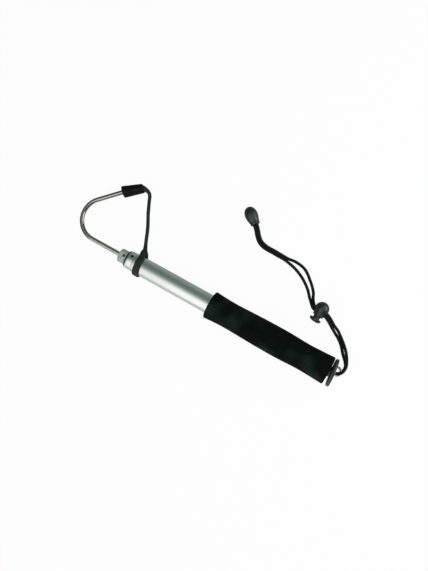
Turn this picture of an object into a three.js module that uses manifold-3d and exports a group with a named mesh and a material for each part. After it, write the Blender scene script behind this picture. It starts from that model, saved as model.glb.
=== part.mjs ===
// A telescopic fishing gaff, closed, lying on its grip with its lanyard laid out beside it.
// Lengths are millimetres and angles degrees. +X runs along the pole to the butt, +Y to the
// hook's open side and +Z up. The pole's own frame starts on its axis at the grip's butt end,
// so what is nearer the hook has a more negative x. The last lines move it onto the ground.
import * as THREE from 'three';
import { mergeVertices } from 'three/addons/utils/BufferGeometryUtils.js';
import Module from 'manifold-3d';

const wasm = await Module();
wasm.setup();

// Fits
const seatGap = 0.3; // between pieces that rest on each other
const runningGap = 0.3; // all round a piece that slides or turns in another
const cutOverrun = 5; // how far each cutting tool passes the face that it cuts

// Tubes
const outerTubeDiameter = 22;
const outerTubeWall = 1.1;
const slidingTubeWall = 0.9; // of the middle and the inner tube
const nestSpaceShare = 0.3; // space from tube to tube, of the room between the rod and the outer tube
const exposedTubeLength = 100.7; // from the grip to the outer tube's mouth
const mouthRounding = 1.7; // radius of the rolled mouth's shoulder
const mouthDepth = 3.4; // length of the mouth's inner lip

// Collar that closes the middle tube, with its grub screw
const collarWall = 1.5; // round the middle tube
const collarLength = 7.4;
const collarRounding = 1.2;
const collarLip = 1.6; // length of the front lip that holds the inner tube's bush
const grubScrewDiameter = 3;
const grubScrewSocket = 1.5; // across its hexagon
const grubScrewSocketDepth = 1;
const grubScrewTurn = 29; // from straight up, towards +Y

// Tail bushes that guide the sliding tubes, and their rubber brake rings
const bushFlangeLength = 9;
const bushSpigotLength = 8;
const bushWall = 1.5;
const bushSlotWidth = 1.4;
const bushSlotDepth = 3;
const bushSlots = 4;
const brakeRingThickness = 1.6;
const tailSpace = 2; // free length behind each bush when the pole is closed

// Foam grip
const gripLength = 150.3;
const gripWall = 5; // at its two rims
const gripRimRounding = 1.6;
// places along the grip from its front, each with its share of the rims' wall
const gripOutlineShares = [[0, 1], [0.17, 0.7], [0.41, 0.87], [0.62, 0.9], [0.8, 0.72], [1, 1]];

// Butt: a plug in the tube, a cap on a stem, and the staple that the lanyard passes through
const plugLength = 13;
const plugPinDiameter = 3;
const plugPinWeb = 0.6; // of the plug, between a pin and the stem
const plugWall = 3.3; // of the plug, round the stem
const stemLength = 10; // of the part that sits in the plug
const capGap = 2.1; // from the grip to the cap's flange, on the axis
const capThickness = 4.2;
const capDome = 0.8; // how far the flange's back swells
const capDomeShares = [[0.75, 0.45], [0.45, 0.8], [0, 1]]; // of its radius and its rise
const capInset = 0.3; // the flange's radius is this much under the grip's rim
const capRounding = 1.8;
const capLean = 5; // the flange sits askew, its +Y side nearer the grip
const capScrewDiameter = 4;
const capScrewHeadDiameter = 7;
const capScrewHeadHeight = 2.6;
const stapleWire = 2.6;
const stapleRadius = 5.2; // of its bend, to the wire's middle
const stapleRise = 0.6; // straight length between the cap and the bend
const stapleOffset = 2.6; // from the pole's axis towards +Y
const stapleDepth = 3; // of each leg in the cap

// Hook
const hookRodDiameter = 5;
const shankExposed = 38.5; // from the ferrule to the bend
const shankInFerrule = 20;
const bendRadius = 25.1;
const bendTurn = 136;
const legToGuard = 31.4; // straight length of the leg before the guard
const legInGuard = 19;
const pointLength = 14;
const pointFlat = 0.5; // diameter of the very tip
const coneReachShare = 1.3; // the cone's cutting tool is this much longer than the cone

// Ferrule that holds the hook, with the washer and plug behind it
const hexAcrossFlats = 14;
const hexLength = 9.6;
const hexChamfer = 25; // angle of the turned corners
const hexBite = 0.4; // how far the turned corners reach in over the flats
const spigotLength = 17;
const ferrulePinDiameter = 2;
const washerThickness = 1.2;
const washerStep = 1; // from the collar's surface down to the washer's
const tipPlugLength = 19;
const tipPlugWall = 1.1;

// Point guard: a sleeve, a strap and a loop round the outer tube
const guardLength = 25;
const guardMouthDiameter = 14.2;
const guardEndDiameter = 11;
const guardRounding = 2.8; // of its closed end
const guardMouthRounding = 1;
const guardLean = 0.11; // slope of its outside from the leg towards the pole
const strapRootOffset = 4.8; // of the strap's root from the leg's line, towards the pole
const strapWidth = 4.2;
const strapThickness = 3;
const loopWidth = 7.6;
const loopThickness = 2.2;
const loopSetback = 7.8; // of its middle from the outer tube's mouth
const loopLean = 0.05; // slope of the loop towards the hook as it rises along +Y
const loopPull = 2.7; // of its top towards the hook, by the strap
const loopPullFrom = 8; // place on +Y where the pull starts
const loopShoulder = 14.5; // place on +Y where it starts to narrow to the strap
const loopApexShare = 1.55; // distance of the inner outline's apex, in inner radii
// places along the line from guard to loop, each with its offset from that line
const strapRouteShares = [
  [-0.003, 0.0127], [-0.0024, 0.0303], [0.008, 0.0477], [0.0313, 0.0642], [0.0608, 0.0769],
  [0.0995, 0.0825], [0.1434, 0.08], [0.2244, 0.0688], [0.3091, 0.0639], [0.4377, 0.048],
  [0.5708, 0.0395], [0.7022, 0.0338], [0.8229, 0.0159], [0.9046, 0.006], [0.9552, 0.0062],
  [0.9858, 0.0065],
];

// Lanyard cord, with the lock on it and the bell on its ends
const cordDiameter = 3;
const cordHoleGap = 0.4; // round the cord in the lock's holes
const lockX = -38.7; // the middle of the lock's ball
const lockY = 56.3;
const lockTurn = 174.8; // turns the plunger from +Y to point at the grip
const lockBallDiameter = 16;
const lockNeckDiameter = 12.5;
const lockNeckReach = 9.5; // from the ball's middle to the neck's end
const lockPassage = 3.7; // from the ball's middle to the middle of the cords' passage
const lockWall = 2; // at the blind end of the plunger's bore
const plungerDiameter = 8;
const plungerTravel = 2.5;
const plungerWeb = 1.7; // between its slot and its inner end
const plungerCapDiameter = 13.5;
const plungerCapHeight = 4;
// the plunger cap's outline, in shares of its radius and of its height
const plungerCapShares = [[0.94, 0], [1, 0.1], [1, 0.35], [0.8, 0.8], [0.4, 1], [0, 1]];
const plungerShow = 3.1; // bare length between the neck and the cap
const springWire = 0.6;
const springTurns = 3;
const bellX = -158.9; // the middle of the bell
const bellY = 111.4;
const bellTurn = -127.4; // turns its mouth from +Y to face the cord
const bellLength = 22;
const bellDiameter = 15;
const bellMouthDiameter = 10.6;
const bellWidestShare = 0.36; // place of its widest ring, from the closed end
const bellBore = 9;
const bellWall = 2.4; // at the closed end
const bellPlugLength = 5;

// The cord's route, from one end in the bell, through the lock and the staple, and back.
// Each point is x and y in the pole's frame and the height of the cord's middle off the ground.
const strandOuterRoute = [
  [-153, 108.9, 7.5], [-149.2, 106, 7.5], [-144.6, 101.4, 5.6], [-140.6, 96.4, 3.2], [-135.4, 91.5, 1.9],
  [-128.6, 89.4, 1.6], [-114.8, 88.3, 1.6], [-100, 88.8, 1.6], [-89.2, 89.4, 1.6], [-77.1, 86.8, 1.6],
  [-65.3, 77.6, 1.6], [-58, 67.6, 2], [-53.8, 60.9, 4], [-50.4, 57, 6.8], [-46.4, 55, 8],
  [-38.9, 54.3, 8], [-31.2, 53.6, 8], [-26.8, 52.5, 6.6], [-22, 50.4, 3.8], [-17.2, 47.8, 1.9],
  [-10.9, 44.3, 1.6], [-4.4, 39.6, 1.9], [2.2, 33, 4.1], [8.6, 25.6, 9], [12.9, 18.4, 15.9], [14.6, 12, 21.6],
];
const bightRoute = [
  [13, 6.9, 22.7], [10.95, 4.3, 21.75], [9.45, 2.5, 19.5], [8.9, 1.8, 16.3], [9.45, 2.5, 13.1],
  [10.95, 4.3, 10.85], [13, 6.9, 9.9],
];
const strandInnerRoute = [
  [14, 11.6, 8.8], [11.6, 17.6, 6.6], [5.2, 23.6, 3.6], [-1.6, 30.8, 1.9], [-7, 36.7, 1.6],
  [-13, 41, 1.6], [-18.8, 44.4, 1.9], [-23.2, 46.9, 3.8], [-27.5, 49, 6.6], [-31.5, 50.3, 8],
  [-39.2, 51, 8], [-46.6, 51.7, 8], [-50.7, 53, 6.9], [-54.7, 55.9, 4.6], [-58.8, 60.4, 2.5],
  [-63.4, 67.2, 1.6], [-73.9, 74.8, 1.6], [-85.6, 80.4, 1.6], [-100, 84, 1.6], [-114.9, 84.9, 1.6],
  [-129.7, 85.9, 1.6], [-138, 88.6, 1.9], [-143.4, 94.2, 3.2], [-147.3, 99.1, 5.6], [-151.2, 103.4, 7.5],
  [-155, 106.3, 7.5],
];
const strandSteps = 34;
const bightSteps = 12;
const cordSides = 8;
const cordCurveSteps = 40; // measured from each of its points to the next

// Fineness
const roundSegments = 32;
const smallSegments = 20;
const arcSteps = 4; // chords in a rounded edge
const rodSides = 10;
const hookSteps = 48;
const hexSides = 6;
const brakeRingSides = 8;
const gripOutlineSteps = 16;
const stapleSteps = 18;
const strapSteps = 26;
const springSides = 5;
const springSteps = 10; // in each turn
const bellRings = 5;
const weldDistance = 1e-4; // corners this close are one

// Sizes worked out from those above
const outerTubeRadius = outerTubeDiameter / 2;
const outerBore = outerTubeRadius - outerTubeWall;
const hookRodRadius = hookRodDiameter / 2;
const roomRoundRod = outerBore - 2 * slidingTubeWall - tipPlugWall - 3 * seatGap - hookRodRadius;
const nestSpace = nestSpaceShare * roomRoundRod;
const middleTubeRadius = outerBore - nestSpace;
const middleBore = middleTubeRadius - slidingTubeWall;
const innerTubeRadius = middleBore - nestSpace;
const innerBore = innerTubeRadius - slidingTubeWall;
const spigotRadius = innerBore - tipPlugWall - 2 * seatGap;
const stemRadius = outerBore - plugWall - 2 * seatGap;
const gripBore = outerTubeRadius + seatGap;
const gripRimRadius = gripBore + gripWall;
const collarRadius = middleTubeRadius + seatGap + collarWall;
const hexCornerRadius = hexAcrossFlats / Math.sqrt(3);
const cordRadius = cordDiameter / 2;

// Stations along the pole
const gripFrontX = -gripLength;
const outerTubeFrontX = gripFrontX - exposedTubeLength;
const collarRearX = outerTubeFrontX - seatGap;
const collarFrontX = collarRearX - collarLength;
const innerTubeFrontX = collarFrontX - seatGap;
const washerRearX = innerTubeFrontX - seatGap;
const washerFrontX = washerRearX - washerThickness;
const hexRearX = washerFrontX - seatGap;
const hexFrontX = hexRearX - hexLength;
const bendStartX = hexFrontX - shankExposed;
const middleBushRearX = -plugLength - tailSpace;
const middleBushFrontX = middleBushRearX - bushFlangeLength;
const middleTubeRearX = middleBushFrontX - seatGap;
const innerBushRearX = middleBushFrontX - bushSpigotLength - tailSpace;
const innerBushFrontX = innerBushRearX - bushFlangeLength;
const innerTubeRearX = innerBushFrontX - seatGap;
const plugPinX = -plugLength / 2;
const capScrewEndX = capGap - seatGap;
const stapleLegEnd = capThickness - stapleDepth; // from the cap's front face
const grubScrewX = (collarFrontX + collarLip + collarRearX) / 2;
const ferrulePinX = hexRearX + (shankInFerrule - hexLength) / 2;

const radians = THREE.MathUtils.degToRad;

/** A geometry's solid, once only its positions are left and its shared corners are merged. */
function solidOf(geometry) {
  const bare = new THREE.BufferGeometry();
  bare.setAttribute('position', geometry.getAttribute('position').clone());
  if (geometry.index) bare.setIndex(geometry.index.clone());
  const merged = mergeVertices(bare, weldDistance);
  const corners = [];
  const index = merged.index.array;
  for (let i = 0; i < index.length; i += 3) {
    const [a, b, c] = [index[i], index[i + 1], index[i + 2]];
    if (a !== b && b !== c && c !== a) corners.push(a, b, c);
  }
  const mesh = new wasm.Mesh({
    numProp: 3,
    vertProperties: new Float32Array(merged.getAttribute('position').array),
    triVerts: new Uint32Array(corners),
  });
  return new wasm.Manifold(mesh);
}

/** The geometry of a solid. */
function geometryOf(solid) {
  const mesh = solid.getMesh();
  const geometry = new THREE.BufferGeometry();
  geometry.setAttribute('position', new THREE.BufferAttribute(new Float32Array(mesh.vertProperties), 3));
  geometry.setIndex(new THREE.BufferAttribute(new Uint32Array(mesh.triVerts), 1));
  geometry.computeVertexNormals();
  return geometry;
}

/** A geometry less the space of each tool. */
function cut(geometry, ...tools) {
  let solid = solidOf(geometry);
  for (const tool of tools) solid = solid.subtract(solidOf(tool));
  return geometryOf(solid);
}

/** Several geometries as one. */
function join(first, ...others) {
  let solid = solidOf(first);
  for (const other of others) solid = solid.add(solidOf(other));
  return geometryOf(solid);
}

/** What two geometries have in common. */
function common(first, second) {
  return geometryOf(solidOf(first).intersect(solidOf(second)));
}

/** Outline points of an arc, from one angle to another in degrees; 0 faces outwards, 90 the butt. */
function arc(middleRadius, middleX, radius, from, to, steps = arcSteps) {
  const points = [];
  for (let i = 0; i <= steps; i += 1) {
    const angle = radians(from + ((to - from) * i) / steps);
    points.push([middleRadius + radius * Math.cos(angle), middleX + radius * Math.sin(angle)]);
  }
  return points;
}

/** A solid turned about the X axis from [radius, x] points; a ring's outline closes on itself. */
function turned(outline, segments = roundSegments) {
  const points = outline.map(([radius, x]) => new THREE.Vector2(radius, x));
  if (THREE.ShapeUtils.area(points) < 0) points.reverse();
  const closesOnAxis = points[0].x === 0 && points[points.length - 1].x === 0;
  if (!closesOnAxis) points.push(points[0].clone());
  return new THREE.LatheGeometry(points, segments).rotateZ(-Math.PI / 2);
}

/** A plain rod along X. */
function rod(radius, fromX, toX, segments = smallSegments) {
  return turned([[0, fromX], [radius, fromX], [radius, toX], [0, toX]], segments);
}

/** A plain ring along X. */
function ring(innerRadius, outerRadius, fromX, toX, segments = roundSegments) {
  const outline = [[innerRadius, fromX], [outerRadius, fromX], [outerRadius, toX], [innerRadius, toX]];
  return turned(outline, segments);
}

/** A rod that crosses the X axis at x, its own axis turned from +Z towards +Y. */
function crossRod(radius, x, fromAxis, toAxis, turn = 0, segments = smallSegments) {
  const along = rod(radius, fromAxis, toAxis, segments).rotateY(-Math.PI / 2);
  return along.rotateX(radians(-turn)).translate(x, 0, 0);
}

/** A solid between two faces square to Z, from [x, y] points. */
function plate(outline, fromZ, toZ) {
  const shape = new THREE.Shape(outline.map(([x, y]) => new THREE.Vector2(x, y)));
  const geometry = new THREE.ExtrudeGeometry(shape, { depth: toZ - fromZ, bevelEnabled: false });
  return geometry.translate(0, 0, fromZ);
}

/** A round section for sweeping. */
function circleShape(radius, sides) {
  const points = [];
  for (let i = 0; i < sides; i += 1) {
    const angle = ((i + 0.5) * 2 * Math.PI) / sides;
    points.push(new THREE.Vector2(radius * Math.cos(angle), radius * Math.sin(angle)));
  }
  return new THREE.Shape(points);
}

/** A section swept along a curve. */
function swept(shape, curve, steps) {
  return new THREE.ExtrudeGeometry(shape, { steps, extrudePath: curve, bevelEnabled: false });
}

/** A wire bent in the XY plane: straight runs and turns, from the origin along +X. */
class BentWire extends THREE.Curve {
  constructor(bends) {
    super();
    this.runs = [];
    let [x, y, heading, start] = [0, 0, 0, 0];
    for (const { length = 0, turn = 0, radius = 0 } of bends) {
      const run = { x, y, heading, start, length: turn ? radius * Math.abs(turn) : length, turn, radius };
      this.runs.push(run);
      const end = BentWire.along(run, run.length);
      [x, y, heading, start] = [end.x, end.y, heading + turn, start + run.length];
    }
    this.total = start;
  }

  static along(run, distance) {
    if (!run.turn) {
      return { x: run.x + distance * Math.cos(run.heading), y: run.y + distance * Math.sin(run.heading) };
    }
    const side = Math.sign(run.turn);
    const angle = run.heading + (side * distance) / run.radius;
    return {
      x: run.x + side * run.radius * (Math.sin(angle) - Math.sin(run.heading)),
      y: run.y + side * run.radius * (Math.cos(run.heading) - Math.cos(angle)),
    };
  }

  getPoint(t, target = new THREE.Vector3()) {
    const distance = t * this.total;
    const run = this.runs.findLast((one) => distance >= one.start) ?? this.runs[0];
    const place = BentWire.along(run, distance - run.start);
    return target.set(place.x, place.y, 0);
  }
}

/** A coil about the X axis. */
class Coil extends THREE.Curve {
  constructor(radius, fromX, toX, turns) {
    super();
    Object.assign(this, { radius, fromX, toX, turns });
  }

  getPoint(t, target = new THREE.Vector3()) {
    const angle = 2 * Math.PI * this.turns * t;
    const x = this.fromX + (this.toX - this.fromX) * t;
    return target.set(x, this.radius * Math.cos(angle), this.radius * Math.sin(angle));
  }
}

/** The part of a curve between two shares of its length. */
class Stretch extends THREE.Curve {
  constructor(whole, fromShare, toShare) {
    super();
    Object.assign(this, { whole, fromShare, toShare });
  }

  getPoint(t, target = new THREE.Vector3()) {
    return this.whole.getPointAt(this.fromShare + (this.toShare - this.fromShare) * t, target);
  }
}

// Finishes
const finishes = {
  satinAluminium: { color: 0xc9cccb, roughness: 0.32, metalness: 1 },
  brightSteel: { color: 0xb9b8b0, roughness: 0.22, metalness: 1 },
  machinedSteel: { color: 0xa9abab, roughness: 0.28, metalness: 1 },
  springSteel: { color: 0x8f9294, roughness: 0.35, metalness: 1 },
  foam: { color: 0x0e1413, roughness: 0.95, metalness: 0 },
  rubber: { color: 0x131817, roughness: 0.6, metalness: 0 },
  blackPlastic: { color: 0x1c2122, roughness: 0.45, metalness: 0 },
  whiteNylon: { color: 0xdedcd2, roughness: 0.5, metalness: 0 },
  blackCord: { color: 0x0c100f, roughness: 0.9, metalness: 0 },
};

/** A named piece with its finish. */
function piece(name, geometry, finish) {
  const mesh = new THREE.Mesh(geometry, new THREE.MeshStandardMaterial(finishes[finish]));
  mesh.name = name;
  return mesh;
}

// Outer tube: its mouth is rolled in to hold the middle tube's bush
function outerTubeGeometry() {
  const neck = middleTubeRadius + runningGap;
  const tube = turned([
    [outerBore, 0],
    [outerBore, outerTubeFrontX + mouthDepth],
    [neck, outerTubeFrontX + mouthDepth - (outerBore - neck)],
    [neck, outerTubeFrontX],
    ...arc(outerTubeRadius - mouthRounding, outerTubeFrontX + mouthRounding, mouthRounding, -90, 0),
    [outerTubeRadius, 0],
  ]);
  return cut(tube, plugPinHole());
}

// The pin that holds the plug passes right through the outer tube, under the grip
function plugPinHole() {
  return crossRod(plugPinDiameter / 2 + seatGap, plugPinX, -outerTubeDiameter, outerTubeDiameter);
}

// Foam grip: its outline swells and narrows between two equal rims
function gripGeometry() {
  const places = gripOutlineShares.map(
    ([along, wall]) => new THREE.Vector2(gripFrontX + along * gripLength, gripBore + wall * gripWall),
  );
  const first = gripFrontX + gripRimRounding;
  const last = -gripRimRounding;
  const outline = new THREE.SplineCurve(places).getPoints(gripOutlineSteps);
  const surface = outline.filter(({ x }) => x > first && x < last).map(({ x, y }) => [y, x]);
  const middle = gripRimRadius - gripRimRounding;
  return turned([
    [gripBore, 0],
    [gripBore, gripFrontX],
    ...arc(middle, first, gripRimRounding, -90, 0),
    ...surface,
    ...arc(middle, last, gripRimRounding, 0, 90),
  ]);
}

// Sliding tubes
function middleTubeGeometry() {
  const tube = ring(middleBore, middleTubeRadius, collarFrontX + collarLip + seatGap, middleTubeRearX);
  return cut(tube, grubScrewHole());
}

function innerTubeGeometry() {
  return ring(innerBore, innerTubeRadius, innerTubeFrontX, innerTubeRearX);
}

// Collar: screwed onto the middle tube's front end
function collarGeometry() {
  const bore = middleTubeRadius + seatGap;
  const collar = turned([
    [innerTubeRadius + runningGap, collarFrontX],
    ...arc(collarRadius - collarRounding, collarFrontX + collarRounding, collarRounding, -90, 0),
    ...arc(collarRadius - collarRounding, collarRearX - collarRounding, collarRounding, 0, 90),
    [bore, collarRearX],
    [bore, collarFrontX + collarLip],
    [innerTubeRadius + runningGap, collarFrontX + collarLip],
  ]);
  return cut(collar, grubScrewHole());
}

// The grub screw passes through the collar and the middle tube, and so locks them together
function grubScrewHole() {
  const radius = grubScrewDiameter / 2 + seatGap;
  return crossRod(radius, grubScrewX, 0, collarRadius + cutOverrun, grubScrewTurn);
}

function grubScrewGeometry() {
  const top = collarRadius - seatGap;
  const bottom = middleBore + seatGap;
  const screw = crossRod(grubScrewDiameter / 2, grubScrewX, bottom, top, grubScrewTurn);
  const socketRadius = grubScrewSocket / Math.sqrt(3);
  const socket = crossRod(
    socketRadius, grubScrewX, top - grubScrewSocketDepth, top + cutOverrun, grubScrewTurn, hexSides,
  );
  return cut(screw, socket);
}

// Tail bush: a slotted flange that runs in the larger tube, on a spigot in the sliding tube's end
function tailBushGeometry(carrierBore, tubeBore, frontX) {
  const flangeRadius = carrierBore - runningGap;
  const insertRadius = tubeBore - runningGap;
  const bore = insertRadius - bushWall;
  const rearX = frontX + bushFlangeLength;
  const grooveRadius = brakeGrooveRadius(carrierBore);
  const grooveHalf = brakeRingThickness / 2 + seatGap;
  const grooveX = brakeRingX(frontX);
  const bush = turned([
    [bore, frontX - bushSpigotLength],
    [insertRadius, frontX - bushSpigotLength],
    [insertRadius, frontX],
    [flangeRadius, frontX],
    [flangeRadius, grooveX - grooveHalf],
    [grooveRadius, grooveX - grooveHalf],
    [grooveRadius, grooveX + grooveHalf],
    [flangeRadius, grooveX + grooveHalf],
    [flangeRadius, rearX],
    [bore, rearX],
  ]);
  const slots = [];
  for (let i = 0; i < bushSlots; i += 1) {
    const slot = new THREE.BoxGeometry(bushSlotDepth + cutOverrun, carrierBore, bushSlotWidth);
    slot.translate(rearX - bushSlotDepth + (bushSlotDepth + cutOverrun) / 2, carrierBore / 2, 0);
    slots.push(slot.rotateX((2 * Math.PI * i) / bushSlots));
  }
  return cut(bush, ...slots);
}

function brakeRingX(frontX) {
  return frontX + (bushFlangeLength - bushSlotDepth) / 2;
}

function brakeGrooveRadius(carrierBore) {
  return carrierBore - runningGap - brakeRingThickness - seatGap;
}

// Brake ring: a rubber ring that fills the groove and rubs in the larger tube
function brakeRingGeometry(carrierBore, frontX) {
  const radius = brakeRingThickness / 2;
  const middle = brakeGrooveRadius(carrierBore) + seatGap + radius;
  const outline = [];
  for (let i = 0; i < brakeRingSides; i += 1) {
    const angle = (2 * Math.PI * i) / brakeRingSides;
    outline.push([middle + radius * Math.cos(angle), brakeRingX(frontX) + radius * Math.sin(angle)]);
  }
  return turned(outline);
}

// Butt plug: fills the outer tube's end and carries the cap's stem
function plugGeometry() {
  const radius = outerBore - seatGap;
  const stemBore = stemRadius + seatGap;
  const shelfX = -stemLength - seatGap;
  const plug = turned([
    [0, -plugLength],
    [radius, -plugLength],
    [radius, -seatGap],
    [stemBore, -seatGap],
    [stemBore, shelfX],
    [0, shelfX],
  ]);
  const screwHole = rod(capScrewDiameter / 2 + seatGap, -plugLength - cutOverrun, 0);
  return cut(plug, screwHole, plugPinHole());
}

// Two short pins from the tube into the plug, clear of the stem
function plugPinGeometry(side) {
  const inner = stemRadius + seatGap + plugPinWeb;
  const outer = outerTubeRadius - seatGap;
  return crossRod(plugPinDiameter / 2, plugPinX, inner, outer, side > 0 ? 0 : 180);
}

// Cap: a straight stem under a flange that sits askew
function placeOnCap(geometry) {
  return geometry.rotateZ(radians(capLean)).translate(capGap, 0, 0);
}

function capGeometry() {
  const radius = gripRimRadius - capInset;
  const middle = radius - capRounding;
  const dome = capDomeShares.map(([out, rise]) => [out * middle, capThickness + rise * capDome]);
  const flange = placeOnCap(turned([
    [0, 0],
    ...arc(middle, capRounding, capRounding, -90, 0),
    ...arc(middle, capThickness - capRounding, capRounding, 0, 90),
    ...dome,
  ]));
  const stem = rod(stemRadius, -stemLength, capGap + capThickness / 2, roundSegments);
  const screwHole = rod(capScrewDiameter / 2 + seatGap, -stemLength - cutOverrun, capScrewEndX + seatGap);
  const legHoles = [1, -1].map((side) => {
    const hole = rod(stapleWire / 2 + seatGap, stapleLegEnd - seatGap, capThickness + cutOverrun);
    return placeOnCap(hole.translate(0, stapleOffset + side * stapleRadius, 0));
  });
  return cut(join(flange, stem), screwHole, ...legHoles);
}

// Screw that draws the cap into the plug, its head in the tube
function capScrewGeometry() {
  const seatX = -plugLength - seatGap;
  return turned([
    [0, seatX - capScrewHeadHeight],
    [capScrewHeadDiameter / 2, seatX - capScrewHeadHeight],
    [capScrewHeadDiameter / 2, seatX],
    [capScrewDiameter / 2, seatX],
    [capScrewDiameter / 2, capScrewEndX],
    [0, capScrewEndX],
  ], smallSegments);
}

// Staple: a wire bail in the cap's back for the lanyard
function stapleGeometry() {
  const leg = capThickness + capDome + stapleRise - stapleLegEnd;
  const wire = new BentWire([{ length: leg }, { turn: Math.PI, radius: stapleRadius }, { length: leg }]);
  const staple = swept(circleShape(stapleWire / 2, rodSides), wire, stapleSteps);
  return placeOnCap(staple.translate(stapleLegEnd, stapleOffset - stapleRadius, 0));
}

// Hook: a rod bent back on itself, its point turned to a long cone
const legAngle = Math.PI - radians(bendTurn);
const leg = {
  x: bendStartX - bendRadius * Math.sin(radians(bendTurn)),
  y: bendRadius * (1 - Math.cos(radians(bendTurn))),
};

/** Moves what is modelled along X to the hook's leg, at a distance from the bend's end. */
function placeOnLeg(geometry, distance) {
  geometry.rotateZ(legAngle);
  return geometry.translate(leg.x + distance * Math.cos(legAngle), leg.y + distance * Math.sin(legAngle), 0);
}

function hookGeometry() {
  const wire = new BentWire([
    { length: shankInFerrule + shankExposed },
    { turn: -radians(bendTurn), radius: bendRadius },
    { length: legToGuard + legInGuard },
  ]);
  const bent = swept(circleShape(hookRodRadius, rodSides), wire, hookSteps);
  bent.rotateZ(Math.PI).translate(bendStartX + shankInFerrule + shankExposed, 0, 0);
  const coneRadius = pointFlat / 2 + (hookRodRadius - pointFlat / 2) * coneReachShare;
  const sharpener = turned([
    [pointFlat / 2, cutOverrun],
    [coneRadius + cutOverrun, cutOverrun],
    [coneRadius + cutOverrun, -pointLength * coneReachShare],
    [coneRadius, -pointLength * coneReachShare],
    [pointFlat / 2, 0],
  ], smallSegments);
  return cut(bent, placeOnLeg(sharpener, legToGuard + legInGuard), ferrulePinHole());
}

// Ferrule: a hexagonal head with turned corners on a spigot that enters the tube's end
function ferruleGeometry() {
  const hex = rod(hexCornerRadius, hexFrontX, hexRearX, hexSides).rotateX(Math.PI / hexSides);
  const faceRadius = hexAcrossFlats / 2 - hexBite;
  const clearRadius = hexCornerRadius + hexBite;
  const drop = (clearRadius - faceRadius) * Math.tan(radians(hexChamfer));
  const turnedCorners = turned([
    [0, hexFrontX],
    [faceRadius, hexFrontX],
    [clearRadius, hexFrontX + drop],
    [clearRadius, hexRearX - drop],
    [faceRadius, hexRearX],
    [0, hexRearX],
  ]);
  const spigot = rod(spigotRadius, hexRearX - hexLength / 2, hexRearX + spigotLength);
  const bore = rod(hookRodRadius + seatGap, hexFrontX - cutOverrun, hexRearX + spigotLength + cutOverrun);
  return cut(join(common(hex, turnedCorners), spigot), bore, ferrulePinHole());
}

// Pin that locks the hook in the ferrule and the ferrule in the tip plug
function ferrulePinHole() {
  return crossRod(ferrulePinDiameter / 2 + seatGap, ferrulePinX, -2 * innerTubeRadius, 2 * innerTubeRadius);
}

function ferrulePinGeometry() {
  const reach = innerBore - seatGap;
  return crossRod(ferrulePinDiameter / 2, ferrulePinX, -reach, reach);
}

// Tip plug: fills the inner tube's front end round the ferrule's spigot
function tipPlugGeometry() {
  const rearX = innerTubeFrontX + tipPlugLength;
  const plug = ring(spigotRadius + seatGap, innerBore - seatGap, innerTubeFrontX, rearX, smallSegments);
  return cut(plug, ferrulePinHole());
}

// Buffer washer: a thin ring between the collar and the ferrule
function washerGeometry() {
  return ring(spigotRadius + seatGap, collarRadius - washerStep, washerFrontX, washerRearX);
}

// Point guard's sleeve: blind, thicker at its mouth, its outside leaning towards the strap
function guardSleeveGeometry() {
  const mouth = guardMouthDiameter / 2;
  const end = guardEndDiameter / 2;
  const bore = hookRodRadius + seatGap;
  const boreEnd = legInGuard + seatGap;
  const body = turned([
    [0, 0],
    ...arc(mouth - guardMouthRounding, guardMouthRounding, guardMouthRounding, -90, 0),
    ...arc(end - guardRounding, guardLength - guardRounding, guardRounding, 0, 90),
    [0, guardLength],
  ], smallSegments);
  body.applyMatrix4(new THREE.Matrix4().makeShear(-guardLean, 0, 0, 0, 0, 0));
  const hole = turned([
    [0, -cutOverrun],
    [bore, -cutOverrun],
    [bore, boreEnd - pointLength],
    [pointFlat / 2 + seatGap, boreEnd],
    [0, boreEnd],
  ], smallSegments);
  return placeOnLeg(cut(body, hole), legToGuard);
}

// Loop: a teardrop band round the outer tube, narrowed to the strap at its top
const loopX = outerTubeFrontX + loopSetback;
const loopInnerRadius = outerTubeRadius + seatGap;
const loopOuterRadius = loopInnerRadius + loopThickness;
const loopApexY = loopOuterRadius * loopApexShare;
const loopTopY = loopApexY - strapThickness / 2;

/** The loop's middle along the pole, at a place on +Y. */
function loopMiddle(y) {
  const pulled = Math.max(0, (y - loopPullFrom) / (loopTopY - loopPullFrom));
  return loopX - loopLean * y - loopPull * pulled;
}

/** A teardrop's [across, along +Y] points, of a radius, with its apex on +Y. */
function teardrop(radius) {
  const open = Math.acos(1 / loopApexShare);
  const points = [[0, radius * loopApexShare]];
  for (let i = 0; i <= smallSegments; i += 1) {
    const angle = open + ((2 * Math.PI - 2 * open) * i) / smallSegments;
    points.push([radius * Math.sin(angle), radius * Math.cos(angle)]);
  }
  return points;
}

function loopGeometry() {
  const reach = 2 * loopWidth; // along the pole each way, before its leaning edges are cut
  const outer = plate(teardrop(loopOuterRadius), -reach, reach);
  const inner = plate(teardrop(loopInnerRadius), -reach - cutOverrun, reach + cutOverrun);
  const band = cut(outer, inner).rotateY(Math.PI / 2).translate(loopX, 0, 0);
  const low = -loopOuterRadius - cutOverrun;
  const edge = (y, half) => [loopMiddle(y) + half, y];
  const sideView = plate([
    edge(low, loopWidth / 2),
    edge(loopPullFrom, loopWidth / 2),
    edge(loopShoulder, loopWidth / 2),
    edge(loopTopY, strapWidth / 2),
    edge(loopTopY, -strapWidth / 2),
    edge(loopShoulder, -loopWidth / 2),
    edge(loopPullFrom, -loopWidth / 2),
    edge(low, -loopWidth / 2),
  ], -2 * loopOuterRadius, 2 * loopOuterRadius);
  return common(band, sideView);
}

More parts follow.
